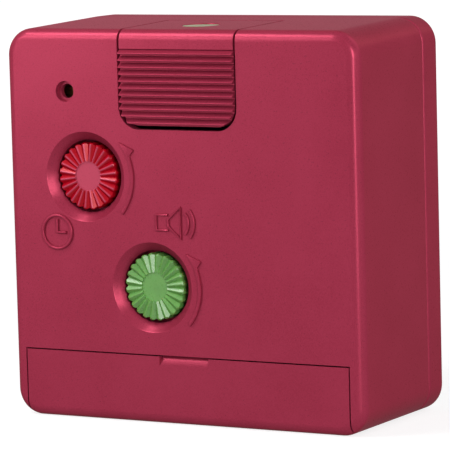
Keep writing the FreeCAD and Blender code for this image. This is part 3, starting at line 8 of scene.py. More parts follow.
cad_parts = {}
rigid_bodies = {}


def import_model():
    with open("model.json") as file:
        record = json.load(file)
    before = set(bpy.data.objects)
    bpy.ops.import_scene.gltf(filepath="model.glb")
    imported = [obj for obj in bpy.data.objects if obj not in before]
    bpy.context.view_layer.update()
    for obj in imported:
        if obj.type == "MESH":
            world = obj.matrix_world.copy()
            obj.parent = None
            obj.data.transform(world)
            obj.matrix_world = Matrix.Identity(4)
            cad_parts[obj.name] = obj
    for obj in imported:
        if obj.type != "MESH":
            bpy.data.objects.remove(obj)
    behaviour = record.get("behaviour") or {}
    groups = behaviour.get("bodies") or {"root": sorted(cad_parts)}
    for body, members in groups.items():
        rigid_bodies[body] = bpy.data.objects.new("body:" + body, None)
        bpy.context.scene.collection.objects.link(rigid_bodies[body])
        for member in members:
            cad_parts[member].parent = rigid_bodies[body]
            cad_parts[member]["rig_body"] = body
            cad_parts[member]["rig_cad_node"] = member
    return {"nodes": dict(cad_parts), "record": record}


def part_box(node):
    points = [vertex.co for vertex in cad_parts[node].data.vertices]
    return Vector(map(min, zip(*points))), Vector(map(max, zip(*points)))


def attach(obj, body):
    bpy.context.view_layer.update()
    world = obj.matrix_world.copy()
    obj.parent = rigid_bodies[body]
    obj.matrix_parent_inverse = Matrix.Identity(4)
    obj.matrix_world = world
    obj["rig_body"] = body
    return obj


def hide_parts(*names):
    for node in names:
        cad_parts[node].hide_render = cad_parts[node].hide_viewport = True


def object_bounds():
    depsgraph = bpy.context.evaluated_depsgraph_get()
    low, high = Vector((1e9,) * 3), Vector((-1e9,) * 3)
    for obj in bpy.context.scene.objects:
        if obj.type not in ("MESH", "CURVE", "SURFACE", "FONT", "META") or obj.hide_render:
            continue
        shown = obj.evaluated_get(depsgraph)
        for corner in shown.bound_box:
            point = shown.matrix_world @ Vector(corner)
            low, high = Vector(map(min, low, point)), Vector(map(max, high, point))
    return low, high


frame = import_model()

bl_info = {
    "name": "Travel alarm clock",
    "version": (1, 0, 0),
    "blender": (4, 5, 0),
    "location": "3D View > Sidebar > Clock",
    "description": "Finishes a packed travel alarm clock and sets it on a plain stage",
    "category": "Object",
}

MM = 0.001
MICRON = 0.001 * MM
WELD = 0.002 * MM  # vertices nearer to each other than this are one
ON_PLANE = 0.01 * MM  # vertices nearer to a plane than this lie on it
FLAT = math.radians(0.5)  # faces that meet at less than this are one face
SHARP = math.radians(40)  # edges that turn by more than this are eased
cad_low, cad_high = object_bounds()
knob_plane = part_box("rear_housing")[1].y
time_axis = sum(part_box("time_knob"), Vector()) / 2
alarm_axis = sum(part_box("alarm_knob"), Vector()) / 2
dial_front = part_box("dial_plate")[0].y
dial_middle = (cad_low.z + cad_high.z) / 2


# Colours and nodes

def linear(code):
    """A colour written as sRGB hex, in Blender's linear values."""
    parts = [int(code[place:place + 2], 16) / 255 for place in (1, 3, 5)]
    return [part / 12.92 if part <= 0.04045 else ((part + 0.055) / 1.055) ** 2.4 for part in parts]


def shaded(colour, share):
    """A colour made darker, or lighter by a share above 1."""
    return [part * share for part in colour]


def rgba(colour):
    return (colour[0], colour[1], colour[2], 1.0)


def add(tree, kind, inputs=None, **settings):
    """Adds a node, sets its properties, and fills or links its inputs."""
    made = tree.nodes.new(kind)
    for name, value in settings.items():
        setattr(made, name, value)
    for name, value in (inputs or {}).items():
        if isinstance(value, bpy.types.NodeSocket):
            tree.links.new(value, made.inputs[name])
        else:
            made.inputs[name].default_value = value
    return made


def new_material(name):
    """An empty node material, its tree, and the Object coordinates that its patterns follow."""
    material = bpy.data.materials.new(name)
    material.use_nodes = True
    tree = material.node_tree
    tree.nodes.clear()
    return material, tree, add(tree, "ShaderNodeTexCoord").outputs["Object"]


def waves_per_metre(size_mm):
    """A noise scale that gives grains of this size on Object coordinates."""
    return 1.0 / (size_mm * MM)


def mottled(tree, place, size_mm, low, high, detail=3.0):
    """A noise of one grain size, stretched between two values. Raw noise hardly leaves 0.3 to 0.7."""
    grain = add(tree, "ShaderNodeTexNoise", {
        "Vector": place, "Scale": waves_per_metre(size_mm), "Detail": detail, "Roughness": 0.55,
    })
    return add(tree, "ShaderNodeMapRange", {
        "Value": grain.outputs["Fac"], "From Min": 0.3, "From Max": 0.7, "To Min": low, "To Max": high,
    }).outputs["Result"]


def pearl_lacquer(name, deep, light, roughness, coat, flake_mm, drift_mm):
    """Moulded ABS under pearlescent lacquer: satin, with flakes that break up the colour and the gloss.

    The real flakes are too fine to show, so they are drawn coarser.
    """
    material, tree, place = new_material(name)
    flakes = mottled(tree, place, flake_mm, 0.0, 1.0, detail=2.0)
    drift = mottled(tree, place, drift_mm, 0.0, 0.35)
    amount = add(tree, "ShaderNodeMath", {0: flakes, 1: drift}, operation="ADD", use_clamp=True)
    colour = add(tree, "ShaderNodeMix", {
        "Factor": amount.outputs["Value"], "A": rgba(deep), "B": rgba(light),
    }, data_type="RGBA")
    gloss = mottled(tree, place, flake_mm * 1.6, roughness - 0.04, roughness + 0.05)
    relief = add(tree, "ShaderNodeBump", {"Height": flakes, "Strength": 0.08, "Distance": 20 * MICRON})
    shader = add(tree, "ShaderNodeBsdfPrincipled", {
        "Base Color": colour.outputs["Result"], "Roughness": gloss, "Metallic": 0.3,
        "Specular IOR Level": 0.0, "Specular Tint": rgba(light), "Coat Weight": coat, "Coat Roughness": 0.3,
        "Normal": relief.outputs["Normal"],
    })
    add(tree, "ShaderNodeOutputMaterial", {"Surface": shader.outputs["BSDF"]})
    return material


def lacquered_flutes(name, valley_painted_shade, crest_painted_highlight, roughness, grain_mm, axis, hub_radius, low, high):
    """Red ABS with pearl lacquer, and painted light on it: a pale painted highlight on the crests and the
    hub, and painted deep red shade between.

    The crests are told by their depth along Y, from low to high, and the hub by its distance from the axis.
    """
    material, tree, place = new_material(name)
    depth = add(tree, "ShaderNodeSeparateXYZ", {"Vector": place}).outputs["Y"]
    crests = add(tree, "ShaderNodeMapRange", {"Value": depth, "From Min": low, "From Max": high})
    flat = add(tree, "ShaderNodeMapping", {
        "Vector": place, "Location": (-axis.x, 0, -axis.z), "Scale": (1, 0, 1),
    })
    reach = add(tree, "ShaderNodeVectorMath", {0: flat.outputs["Vector"]}, operation="LENGTH")
    hub = add(tree, "ShaderNodeMath", {0: reach.outputs["Value"], 1: hub_radius}, operation="LESS_THAN")
    # Mask of painted light: a pale painted highlight where the crests or the hub face the lamps, painted
    # shade down the flutes.
    cover = add(tree, "ShaderNodeMath", {
        0: crests.outputs["Result"], 1: hub.outputs["Value"],
    }, operation="MAXIMUM")
    colour = add(tree, "ShaderNodeMix", {
        "Factor": cover.outputs["Value"], "A": rgba(valley_painted_shade), "B": rgba(crest_painted_highlight),
    }, data_type="RGBA")
    grain = mottled(tree, place, grain_mm, roughness - 0.05, roughness + 0.05)
    relief = add(tree, "ShaderNodeBump", {"Height": grain, "Strength": 0.1, "Distance": 20 * MICRON})
    shader = add(tree, "ShaderNodeBsdfPrincipled", {
        "Base Color": colour.outputs["Result"], "Roughness": grain, "Metallic": 0.1,
        "Specular IOR Level": 0.0, "Coat Weight": 0.2, "Coat Roughness": 0.2,
        "Normal": relief.outputs["Normal"],
    })
    add(tree, "ShaderNodeOutputMaterial", {"Surface": shader.outputs["BSDF"]})
    return material


def moulded_plastic(name, dark, pale, roughness, texture_mm, relief_um, glow=0.0, shine=0.5):
    """A moulded plastic: even colour that drifts a little, and the fine texture of its mould."""
    material, tree, place = new_material(name)
    drift = mottled(tree, place, 4.0, 0.0, 1.0)
    colour = add(tree, "ShaderNodeMix", {
        "Factor": drift, "A": rgba(dark), "B": rgba(pale),
    }, data_type="RGBA")
    texture = mottled(tree, place, texture_mm, 0.0, 1.0)
    relief = add(tree, "ShaderNodeBump", {
        "Height": texture, "Strength": 0.5, "Distance": relief_um * MICRON,
    })
    shader = add(tree, "ShaderNodeBsdfPrincipled", {
        "Base Color": colour.outputs["Result"],
        "Roughness": mottled(tree, place, texture_mm * 3, roughness - 0.05, roughness + 0.05),
        "IOR": 1.5, "Specular IOR Level": shine, "Subsurface Weight": glow, "Subsurface Scale": 0.6 * MM,
        "Normal": relief.outputs["Normal"],
    })
    add(tree, "ShaderNodeOutputMaterial", {"Surface": shader.outputs["BSDF"]})
    return material


def worked_metal(name, dark, pale, roughness, line_mm, along):
    """A bare metal with the fine lines of its rolling or grinding, which run along one axis."""
    material, tree, place = new_material(name)
    stretch = [0.06 if axis == along else 1.0 for axis in "XYZ"]
    lines = add(tree, "ShaderNodeMapping", {"Vector": place, "Scale": stretch}).outputs["Vector"]
    streak = mottled(tree, lines, line_mm, 0.0, 1.0)
    colour = add(tree, "ShaderNodeMix", {
        "Factor": streak, "A": rgba(dark), "B": rgba(pale),
    }, data_type="RGBA")
    relief = add(tree, "ShaderNodeBump", {"Height": streak, "Strength": 0.3, "Distance": 10 * MICRON})
    shader = add(tree, "ShaderNodeBsdfPrincipled", {
        "Base Color": colour.outputs["Result"],
        "Roughness": mottled(tree, lines, line_mm * 2, roughness - 0.06, roughness + 0.08),
        "Metallic": 1.0, "Normal": relief.outputs["Normal"],
    })
    add(tree, "ShaderNodeOutputMaterial", {"Surface": shader.outputs["BSDF"]})
    return material


def wound_wire(name, dark, pale, pitch_mm):
    """Enamelled copper wire in layers: glossy bands round the coil.

    They are drawn coarser than the real wire, so that they show.
    """
    material, tree, place = new_material(name)
    bands = add(tree, "ShaderNodeTexWave", {
        "Vector": place, "Scale": waves_per_metre(pitch_mm) / math.tau, "Distortion": 0.6, "Detail": 1.0,
    }, bands_direction="X").outputs["Fac"]
    colour = add(tree, "ShaderNodeMix", {
        "Factor": bands, "A": rgba(dark), "B": rgba(pale),
    }, data_type="RGBA")
    relief = add(tree, "ShaderNodeBump", {"Height": bands, "Strength": 0.6, "Distance": 60 * MICRON})
    shader = add(tree, "ShaderNodeBsdfPrincipled", {
        "Base Color": colour.outputs["Result"], "Roughness": 0.32, "Metallic": 0.9,
        "Coat Weight": 0.5, "Coat Roughness": 0.15, "Normal": relief.outputs["Normal"],
    })
    add(tree, "ShaderNodeOutputMaterial", {"Surface": shader.outputs["BSDF"]})
    return material


def solder_mask(name, dark, pale, weave_mm):
    """Green lacquer on glass epoxy: glossy, with the glass weave showing faintly through it."""
    material, tree, place = new_material(name)
    scale = waves_per_metre(weave_mm) / math.tau
    warp = add(tree, "ShaderNodeTexWave", {"Vector": place, "Scale": scale}, bands_direction="X")
    weft = add(tree, "ShaderNodeTexWave", {"Vector": place, "Scale": scale}, bands_direction="Z")
    weave = add(tree, "ShaderNodeMath", {
        0: warp.outputs["Fac"], 1: weft.outputs["Fac"],
    }, operation="MULTIPLY").outputs["Value"]
    colour = add(tree, "ShaderNodeMix", {
        "Factor": weave, "A": rgba(dark), "B": rgba(pale),
    }, data_type="RGBA")
    relief = add(tree, "ShaderNodeBump", {"Height": weave, "Strength": 0.2, "Distance": 20 * MICRON})
    shader = add(tree, "ShaderNodeBsdfPrincipled", {
        "Base Color": colour.outputs["Result"], "Roughness": 0.3, "IOR": 1.5,
        "Coat Weight": 0.4, "Coat Roughness": 0.1, "Normal": relief.outputs["Normal"],
    })
    add(tree, "ShaderNodeOutputMaterial", {"Surface": shader.outputs["BSDF"]})
    return material


def clear_acrylic(name, haze_mm):
    """Cut acrylic sheet: clear and glossy, and it lets light through to the dial."""
    material, tree, place = new_material(name)
    sheet = add(tree, "ShaderNodeBsdfPrincipled", {
        "Base Color": rgba(linear("#F4F8F8")), "Roughness": mottled(tree, place, haze_mm, 0.02, 0.05),
        "IOR": 1.49, "Transmission Weight": 1.0,
    })
    through = add(tree, "ShaderNodeBsdfTransparent")
    rays = add(tree, "ShaderNodeLightPath")
    mixed = add(tree, "ShaderNodeMixShader", {
        0: rays.outputs["Is Shadow Ray"], 1: sheet.outputs["BSDF"], 2: through.outputs["BSDF"],
    })
    add(tree, "ShaderNodeOutputMaterial", {"Surface": mixed.outputs["Shader"]})
    return material


# Modelling helpers

def alone(piece):
    """Makes this the only selected object, and the active one."""
    bpy.ops.object.select_all(action="DESELECT")
    piece.select_set(True)
    bpy.context.view_layer.objects.active = piece


def in_edit_mode(piece, *steps):
    """Runs edit-mode steps on everything in a piece."""
    alone(piece)
    bpy.ops.object.mode_set(mode="EDIT")
    bpy.ops.mesh.select_all(action="SELECT")
    for step in steps:
        step()
    bpy.ops.object.mode_set(mode="OBJECT")


def apply_modifier(piece, kind, **settings):
    """Adds a modifier, sets it and applies it."""
    alone(piece)
    bpy.ops.object.modifier_add(type=kind)
    modifier = piece.modifiers[-1]
    for name, value in settings.items():
        setattr(modifier, name, value)
    bpy.ops.object.modifier_apply(modifier=modifier.name)


def ease_edges(piece, easing):
    """Rounds the sharp edges of a piece."""
    apply_modifier(piece, "BEVEL", width=easing, segments=2, limit_method="ANGLE", angle_limit=SHARP)


def place_in_mesh(piece):
    """Moves a piece's place into its mesh, so that its object sits at the origin."""
    alone(piece)
    bpy.ops.object.transform_apply(location=True, rotation=True, scale=True)


def settled(piece):
    """A piece with its place in its mesh and its rounded parts shaded smooth."""
    place_in_mesh(piece)
    bpy.ops.object.shade_smooth_by_angle(angle=math.radians(40))
    return piece


def paint(piece, material):
    piece.data.materials.clear()
    piece.data.materials.append(material)


def dress(piece, name, material, body):
    """Names a new piece, paints it and lets it ride on its body."""
    piece.name = name
    piece.data.name = name
    paint(piece, material)
    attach(piece, body)
    return piece


def body_of_node(node):
    return frame["nodes"][node]["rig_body"]


def slot_of_node(node):
    rows = frame["record"]["subparts"]
    return next(row["material_slot"] for row in rows if row["node"] == node)


def select_rim(piece, depth, outer_only=False):
    """Selects the rim at one depth of a piece, or only its outer outline, and stays in edit mode."""
    in_edit_mode(piece, lambda: bpy.ops.mesh.select_all(action="DESELECT"))
    middle = sum(corner[2] for corner in piece.bound_box) / 8
    outside = set()
    for face in piece.data.polygons:
        outwards = face.center.x * face.normal.x + (face.center.z - middle) * face.normal.z
        along_y = abs(face.normal.y) < 0.1
        if outwards > 0 and along_y:
            outside.update(face.vertices)
    for vertex in piece.data.vertices:
        on_rim = abs(vertex.co.y - depth) < ON_PLANE
        vertex.select = on_rim and (not outer_only or vertex.index in outside)
    bpy.ops.object.mode_set(mode="EDIT")


def widen_seam(piece, depth, shift, easing):
    """Moves a rim along Y, away from its neighbour, and rounds its outer outline."""
    select_rim(piece, depth)
    bpy.ops.transform.translate(value=(0, shift, 0))
    bpy.ops.object.mode_set(mode="OBJECT")
    select_rim(piece, depth + shift, outer_only=True)
    bpy.ops.mesh.select_mode(type="EDGE")
    bpy.ops.mesh.bevel(offset=easing, segments=2, affect="EDGES", clamp_overlap=False)
    bpy.ops.mesh.select_mode(type="VERT")
    bpy.ops.object.mode_set(mode="OBJECT")


def eased_copy(node, name, material, easing, seam=None):
    """A merged copy of a CAD node whose sharp edges get the small rounding that a mould leaves.

    A seam is a shift and an easing for the rim at the rear of the piece.
    """
    alone(frame["nodes"][node])
    bpy.ops.object.duplicate()
    piece = bpy.context.view_layer.objects.active
    del piece["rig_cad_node"]
    in_edit_mode(
        piece,
        lambda: bpy.ops.mesh.remove_doubles(threshold=WELD),
        lambda: bpy.ops.mesh.dissolve_limited(angle_limit=FLAT),
    )
    if seam:
        widen_seam(piece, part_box(node)[1].y, *seam)
    ease_edges(piece, easing)
    bpy.ops.object.shade_smooth_by_angle(angle=math.radians(35))
    apply_modifier(piece, "WEIGHTED_NORMAL", keep_sharp=True, weight=60)
    dress(piece, name, material, body_of_node(node))
    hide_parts(node)
    return piece


def paint_nodes(material, *nodes):
    """Gives CAD nodes their material and smooth round faces."""
    for node in nodes:
        piece = frame["nodes"][node]
        alone(piece)
        bpy.ops.object.shade_smooth_by_angle(angle=math.radians(30))
        paint(piece, material)


def ridge(points, width, closed=False):
    """A round ridge, sunk into the back plane, that follows a line of (across, up) places."""
    lift = width * 0.28
    bpy.ops.object.select_all(action="DESELECT")
    bpy.ops.curve.primitive_bezier_curve_add()
    piece = bpy.context.view_layer.objects.active
    piece.data.splines.clear()
    line = piece.data.splines.new("POLY")
    line.points.add(len(points) - 1)
    for point, (across, up) in zip(line.points, points):
        point.co = (across, knob_plane + lift, up, 1.0)
    line.use_cyclic_u = closed
    piece.data.bevel_depth = width / 2
    piece.data.bevel_resolution = 3
    piece.data.use_fill_caps = True
    alone(piece)
    bpy.ops.object.convert(target="MESH")
    return bpy.context.view_layer.objects.active


def raised_plate(outline, height, easing):
    """A flat raised form on the back plane: its outline is extruded off the plane and its rim is eased."""
    bpy.ops.object.select_all(action="DESELECT")
    bpy.ops.mesh.primitive_circle_add(vertices=len(outline), fill_type="NGON")
    piece = bpy.context.view_layer.objects.active
    for vertex, (across, up) in zip(piece.data.vertices, outline):
        vertex.co = (across, knob_plane - height, up)
    in_edit_mode(
        piece,
        lambda: bpy.ops.mesh.extrude_region_move(TRANSFORM_OT_translate={"value": (0, height * 2, 0)}),
        lambda: bpy.ops.mesh.select_all(action="SELECT"),
        lambda: bpy.ops.mesh.normals_make_consistent(inside=False),
    )
    ease_edges(piece, easing)
    return settled(piece)


def on_arc(middle, radius, angle):
    """The place at one angle on an arc round a middle, counted from -X towards +Z."""
    turn = math.radians(angle)
    return middle[0] - radius * math.cos(turn), middle[1] + radius * math.sin(turn)


def arc(middle, radius, first, last, steps):
    """Places along an arc round a middle, in equal steps from the first angle to the last."""
    return [on_arc(middle, radius, first + (last - first) * step / steps) for step in range(steps + 1)]


def copies(piece, count):
    """A piece and copies of it with meshes of their own, as many as count in all."""
    made = [piece]
    while len(made) < count:
        alone(piece)
        bpy.ops.object.duplicate()
        made.append(bpy.context.view_layer.objects.active)
    return made


def joined(parts):
    """One piece out of several."""
    bpy.ops.object.select_all(action="DESELECT")
    for part in parts:
        part.select_set(True)
    bpy.context.view_layer.objects.active = parts[0]
    bpy.ops.object.join()
    return settled(bpy.context.view_layer.objects.active)


# Sizes and colours that a user would change

class CaseFinish(bpy.types.PropertyGroup):
    deep: bpy.props.FloatVectorProperty(
        name="Deep crimson", description="Lacquer colour between the flakes", subtype="COLOR",
        default=linear("#832237"))
    light: bpy.props.FloatVectorProperty(
        name="Light crimson", description="Lacquer colour on the flakes", subtype="COLOR",
        default=linear("#932D44"))
    knob: bpy.props.FloatVectorProperty(
        name="Knob green", description="Colour of the alarm knob", subtype="COLOR", default=linear("#5F9646"))
    marker: bpy.props.FloatVectorProperty(
        name="Marker olive", description="Colour of the round marker in the key", subtype="COLOR",
        default=linear("#757450"))
    easing: bpy.props.FloatProperty(
        name="Edge easing", description="Rounding of the case's moulded edges", default=0.12 * MM,
        unit="LENGTH", subtype="DISTANCE")
    flake: bpy.props.FloatProperty(
        name="Flake size", description="Size of the pearl flakes as drawn, in millimetres", default=0.16)


class SignSizes(bpy.types.PropertyGroup):
    ridge: bpy.props.FloatProperty(
        name="Ridge width", description="Width of the raised lines", default=0.46 * MM,
        unit="LENGTH", subtype="DISTANCE")
    height: bpy.props.FloatProperty(
        name="Arrow height", description="How far the turning arrows stand off the back", default=0.3 * MM,
        unit="LENGTH", subtype="DISTANCE")
    clock_radius: bpy.props.FloatProperty(
        name="Clock sign radius", description="Middle of the ring's ridge", default=2.4 * MM,
        unit="LENGTH", subtype="DISTANCE")
    clock_across: bpy.props.FloatProperty(
        name="Clock sign across", description="From the time knob's axis outwards", default=4.92 * MM,
        unit="LENGTH", subtype="DISTANCE")
    clock_below: bpy.props.FloatProperty(
        name="Clock sign below", description="From the time knob's axis down", default=8.09 * MM,
        unit="LENGTH", subtype="DISTANCE")
    speaker_above: bpy.props.FloatProperty(
        name="Loudspeaker above", description="From the alarm knob's axis up", default=9.4 * MM,
        unit="LENGTH", subtype="DISTANCE")


class DialPrint(bpy.types.PropertyGroup):
    numeral: bpy.props.FloatProperty(
        name="Numeral size", description="Type size of the hour numbers", default=5.4 * MM,
        unit="LENGTH", subtype="DISTANCE")
    numeral_circle: bpy.props.FloatProperty(
        name="Numeral circle", description="Radius on which the hour numbers stand", default=16.6 * MM,
        unit="LENGTH", subtype="DISTANCE")
    track: bpy.props.FloatProperty(
        name="Minute track", description="Outer radius of the minute marks", default=21.8 * MM,
        unit="LENGTH", subtype="DISTANCE")
    ink: bpy.props.FloatVectorProperty(
        name="Ink", description="Colour of the print", subtype="COLOR", default=linear("#16161A"))


class StageSet(bpy.types.PropertyGroup):
    azimuth: bpy.props.FloatProperty(
        name="Azimuth", description="Camera's turn round the clock", default=math.radians(209.343),
        subtype="ANGLE")
    elevation: bpy.props.FloatProperty(
        name="Elevation", description="Camera's angle above the table", default=math.radians(6.671),
        subtype="ANGLE")
    roll: bpy.props.FloatProperty(
        name="Roll", description="Camera's turn about its own axis", default=math.radians(-1.493),
        subtype="ANGLE")
    lens: bpy.props.FloatProperty(
        name="Lens", description="Focal length in millimetres, on a 36 mm sensor", default=267.09)
    floor_reach: bpy.props.FloatProperty(
        name="Floor reach", description="How far the floor goes on each side", default=3.0,
        unit="LENGTH", subtype="DISTANCE")


# Operators, one for each group of pieces

class CLOCK_OT_case(bpy.types.Operator):
    """Case, key and battery cover in pearlescent crimson lacquer, with eased edges"""
    bl_idname = "clock.case"
    bl_label = "Finish the case"

    def execute(self, context):
        finish = context.scene.case_finish
        # Satin pearl lacquer: soft pink highlights on the roundings, a fine sparkle on the flat back.
        lacquer = pearl_lacquer(
            "pearl_lacquered_abs", finish.deep, finish.light, roughness=0.3, coat=0.12,
            flake_mm=finish.flake, drift_mm=9.0)
        eased_copy("rear_housing", "finished_housing", lacquer, finish.easing)
        # The seam reads as a dark line beside a light one, so its gap and rounding are drawn wider.
        shift, rounding = -0.12 * MM, 0.36 * MM
        eased_copy("front_bezel", "finished_bezel", lacquer, finish.easing, seam=(shift, rounding))
        eased_copy("alarm_key", "finished_key", lacquer, finish.easing * 0.9)
        eased_copy("battery_cover", "finished_cover", lacquer, finish.easing * 1.7)
        return {"FINISHED"}


class CLOCK_OT_knobs(bpy.types.Operator):
    """Fluted knobs: the time knob lacquered crimson, the alarm knob moulded in green"""
    bl_idname = "clock.knobs"
    bl_label = "Finish the knobs"

    def execute(self, context):
        finish = context.scene.case_finish
        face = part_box("time_knob")[1].y
        # Red ABS sprayed with pearl lacquer, with painted light: a pale pink painted highlight on the crests
        # and the hub, and painted deep red shade down the flutes.
        red = lacquered_flutes(
            "gloss_lacquered_abs", linear("#9C0418"), linear("#A83C52"), roughness=0.3, grain_mm=0.3,
            axis=time_axis, hub_radius=2.15 * MM, low=face - 0.14 * MM, high=face - 0.03 * MM)
        # Through-coloured ABS straight from the mould: glossy crests and a slightly milky depth.
        green = moulded_plastic(
            "moulded_green_abs", shaded(finish.knob, 0.72), finish.knob, roughness=0.3,
            texture_mm=0.12, relief_um=4.0, glow=0.12)
        # Tinted polystyrene, pressed in: even and nearly dull, so it stays darker than the lacquer round it.
        inlay = moulded_plastic(
            "moulded_green_polystyrene", shaded(finish.marker, 0.9), finish.marker, roughness=0.4,
            texture_mm=0.2, relief_um=3.0, shine=0.1)
        # The flutes are finer than the case's edges, so they are eased less.
        eased_copy("time_knob", "finished_time_knob", red, finish.easing * 0.2)
        eased_copy("alarm_knob", "finished_alarm_knob", green, finish.easing * 0.2)
        eased_copy("alarm_marker", "finished_marker", inlay, finish.easing * 0.5)
        return {"FINISHED"}


class CLOCK_OT_signs(bpy.types.Operator):
    """Raised signs on the back: clock, loudspeaker and a turning arrow beside each knob"""
    bl_idname = "clock.signs"
    bl_label = "Raise the signs"

    def execute(self, context):
        sizes = context.scene.sign_sizes
        lacquer = bpy.data.materials["pearl_lacquered_abs"]
        body, slot = body_of_node("rear_housing"), slot_of_node("rear_housing")
        middle = (time_axis.x + sizes.clock_across, time_axis.z - sizes.clock_below)
        ring = ridge(arc(middle, sizes.clock_radius, 0, 352.5, 47), sizes.ridge, closed=True)
        hub = (middle[0] - 0.02 * MM, middle[1] - 0.05 * MM)
        twelve, three = (hub[0], middle[1] + 1.85 * MM), (middle[0] - 1.5 * MM, hub[1])
        hands = ridge([twelve, hub, three], sizes.ridge)
        dress(joined([ring, hands]), "clock_sign", lacquer, body)
        dress(self.loudspeaker(sizes), "loudspeaker_sign", lacquer, body)
        for name, axis in (("time_arrow", time_axis), ("alarm_arrow", alarm_axis)):
            dress(self.arrow(axis, sizes), name, lacquer, body)
        return {"FINISHED"}

    def loudspeaker(self, sizes):
        """A square box, a cone that opens from it, and two sound waves, in finer lines than the clock's."""
        left, right = alarm_axis.x - 1.05 * MM, alarm_axis.x - 2.95 * MM
        mouth = alarm_axis.x - 5.05 * MM
        up = alarm_axis.z + sizes.speaker_above
        box_half, neck_half, mouth_half = 1.1 * MM, 0.47 * MM, 2.25 * MM
        width = sizes.ridge * 0.8
        box = [(right, up + box_half), (left, up + box_half), (left, up - box_half), (right, up - box_half)]
        cone = [
            (right, up + neck_half), (mouth, up + mouth_half),
            (mouth, up - mouth_half), (right, up - neck_half),
        ]
        source = (mouth + 1.1 * MM, up - 0.06 * MM)
        lines = [ridge(box, width), ridge(cone, width, closed=True)]
        for radius, half_angle in ((2.35 * MM, 40), (3.25 * MM, 38)):
            lines.append(ridge(arc(source, radius, -half_angle, half_angle, 14), width))
        return joined(lines)

    def arrow(self, axis, sizes):
        """A slim crescent round the knob with a one-sided point at its upper end."""
        middle = (axis.x, axis.z)
        inner, outer, barb, tip = 7.6 * MM, 8.15 * MM, 9.2 * MM, 7.65 * MM
        outline = arc(middle, outer, -41, 22.4, 24)
        outline += [on_arc(middle, barb, 26), on_arc(middle, tip, 42)]
        outline += arc(middle, inner, 28, -40, 24)
        return raised_plate(outline, sizes.height, sizes.height * 0.6)


class CLOCK_OT_dial(bpy.types.Operator):
    """Printed dial: hour numbers, minute track and the acrylic sheet over it"""
    bl_idname = "clock.dial"
    bl_label = "Print the dial"

    def execute(self, context):
        sizes = context.scene.dial_print
        # Screen printed ink: dense, with hardly any gloss.
        ink = moulded_plastic(
            "screen_printed_ink", sizes.ink, shaded(sizes.ink, 1.3), roughness=0.55,
            texture_mm=0.1, relief_um=2.0)
        # Matt card: warm white with a faint fibre, so that it shows no reflection under the lens.
        card = moulded_plastic(
            "matt_printed_card", linear("#E6E3DA"), linear("#EFEDE6"), roughness=0.75,
            texture_mm=0.15, relief_um=6.0)
        paint_nodes(card, "dial_plate")
        paint_nodes(clear_acrylic("cut_acrylic_sheet", haze_mm=6.0), "front_lens")
        body, slot = body_of_node("dial_plate"), slot_of_node("dial_plate")
        for hour in range(1, 13):
            dress(self.numeral(hour, sizes), "numeral_%02d" % hour, ink, body)
        dress(self.minute_track(sizes), "minute_track", ink, body)
        return {"FINISHED"}

    def numeral(self, hour, sizes):
        """One hour number, a thin layer of ink proud of the dial."""
        turn = math.radians(hour * 30)
        across = math.sin(turn) * sizes.numeral_circle
        up = dial_middle + math.cos(turn) * sizes.numeral_circle
        bpy.ops.object.select_all(action="DESELECT")
        bpy.ops.object.text_add(location=(across, dial_front, up), rotation=(math.radians(90), 0, 0))
        number = bpy.context.view_layer.objects.active
        number.data.body = str(hour)
        number.data.size = sizes.numeral
        number.data.align_x = "CENTER"
        number.data.align_y = "CENTER"
        number.data.extrude = 0.02 * MM
        number.data.resolution_u = 6
        alone(number)
        bpy.ops.object.convert(target="MESH")
        number = bpy.context.view_layer.objects.active
        place_in_mesh(number)
        return number

    def minute_track(self, sizes):
        """Sixty marks, every fifth one longer and wider."""
        fifths = range(0, 60, 5)
        others = [minute for minute in range(60) if minute % 5]
        marks = []
        for minutes, length, width in ((fifths, 1.9 * MM, 0.55 * MM), (others, 0.9 * MM, 0.22 * MM)):
            reach = sizes.track - length / 2
            for minute, mark in zip(minutes, copies(self.mark(length, width), len(minutes))):
                turn = math.radians(minute * 6)
                mark.location = (math.sin(turn) * reach, dial_front, dial_middle + math.cos(turn) * reach)
                mark.rotation_euler = (0, turn, 0)
                marks.append(mark)
        return joined(marks)

    def mark(self, length, width):
        """One mark of ink, half sunk into the dial."""
        bpy.ops.object.select_all(action="DESELECT")
        bpy.ops.mesh.primitive_cube_add(size=1)
        mark = bpy.context.view_layer.objects.active
        mark.scale = (width, 0.04 * MM, length)
        return mark


class CLOCK_OT_hands(bpy.types.Operator):
    """Hands of painted aluminium sheet"""
    bl_idname = "clock.hands"
    bl_label = "Paint the hands"

    def execute(self, context):
        # Thin sprayed enamel on blanked sheet: even, low gloss, with a slight orange-peel.
        for name, code, nodes in (
            ("black_enamelled_aluminium", "#17171A", ("hour_hand", "minute_hand")),
            ("red_enamelled_aluminium", "#A51D2C", ("second_hand",)),
            ("green_enamelled_aluminium", "#4C9A46", ("alarm_hand",)),
        ):
            colour = linear(code)
            enamel = moulded_plastic(
                name, shaded(colour, 0.85), colour, roughness=0.38, texture_mm=0.3, relief_um=3.0)
            paint_nodes(enamel, *nodes)
        return {"FINISHED"}


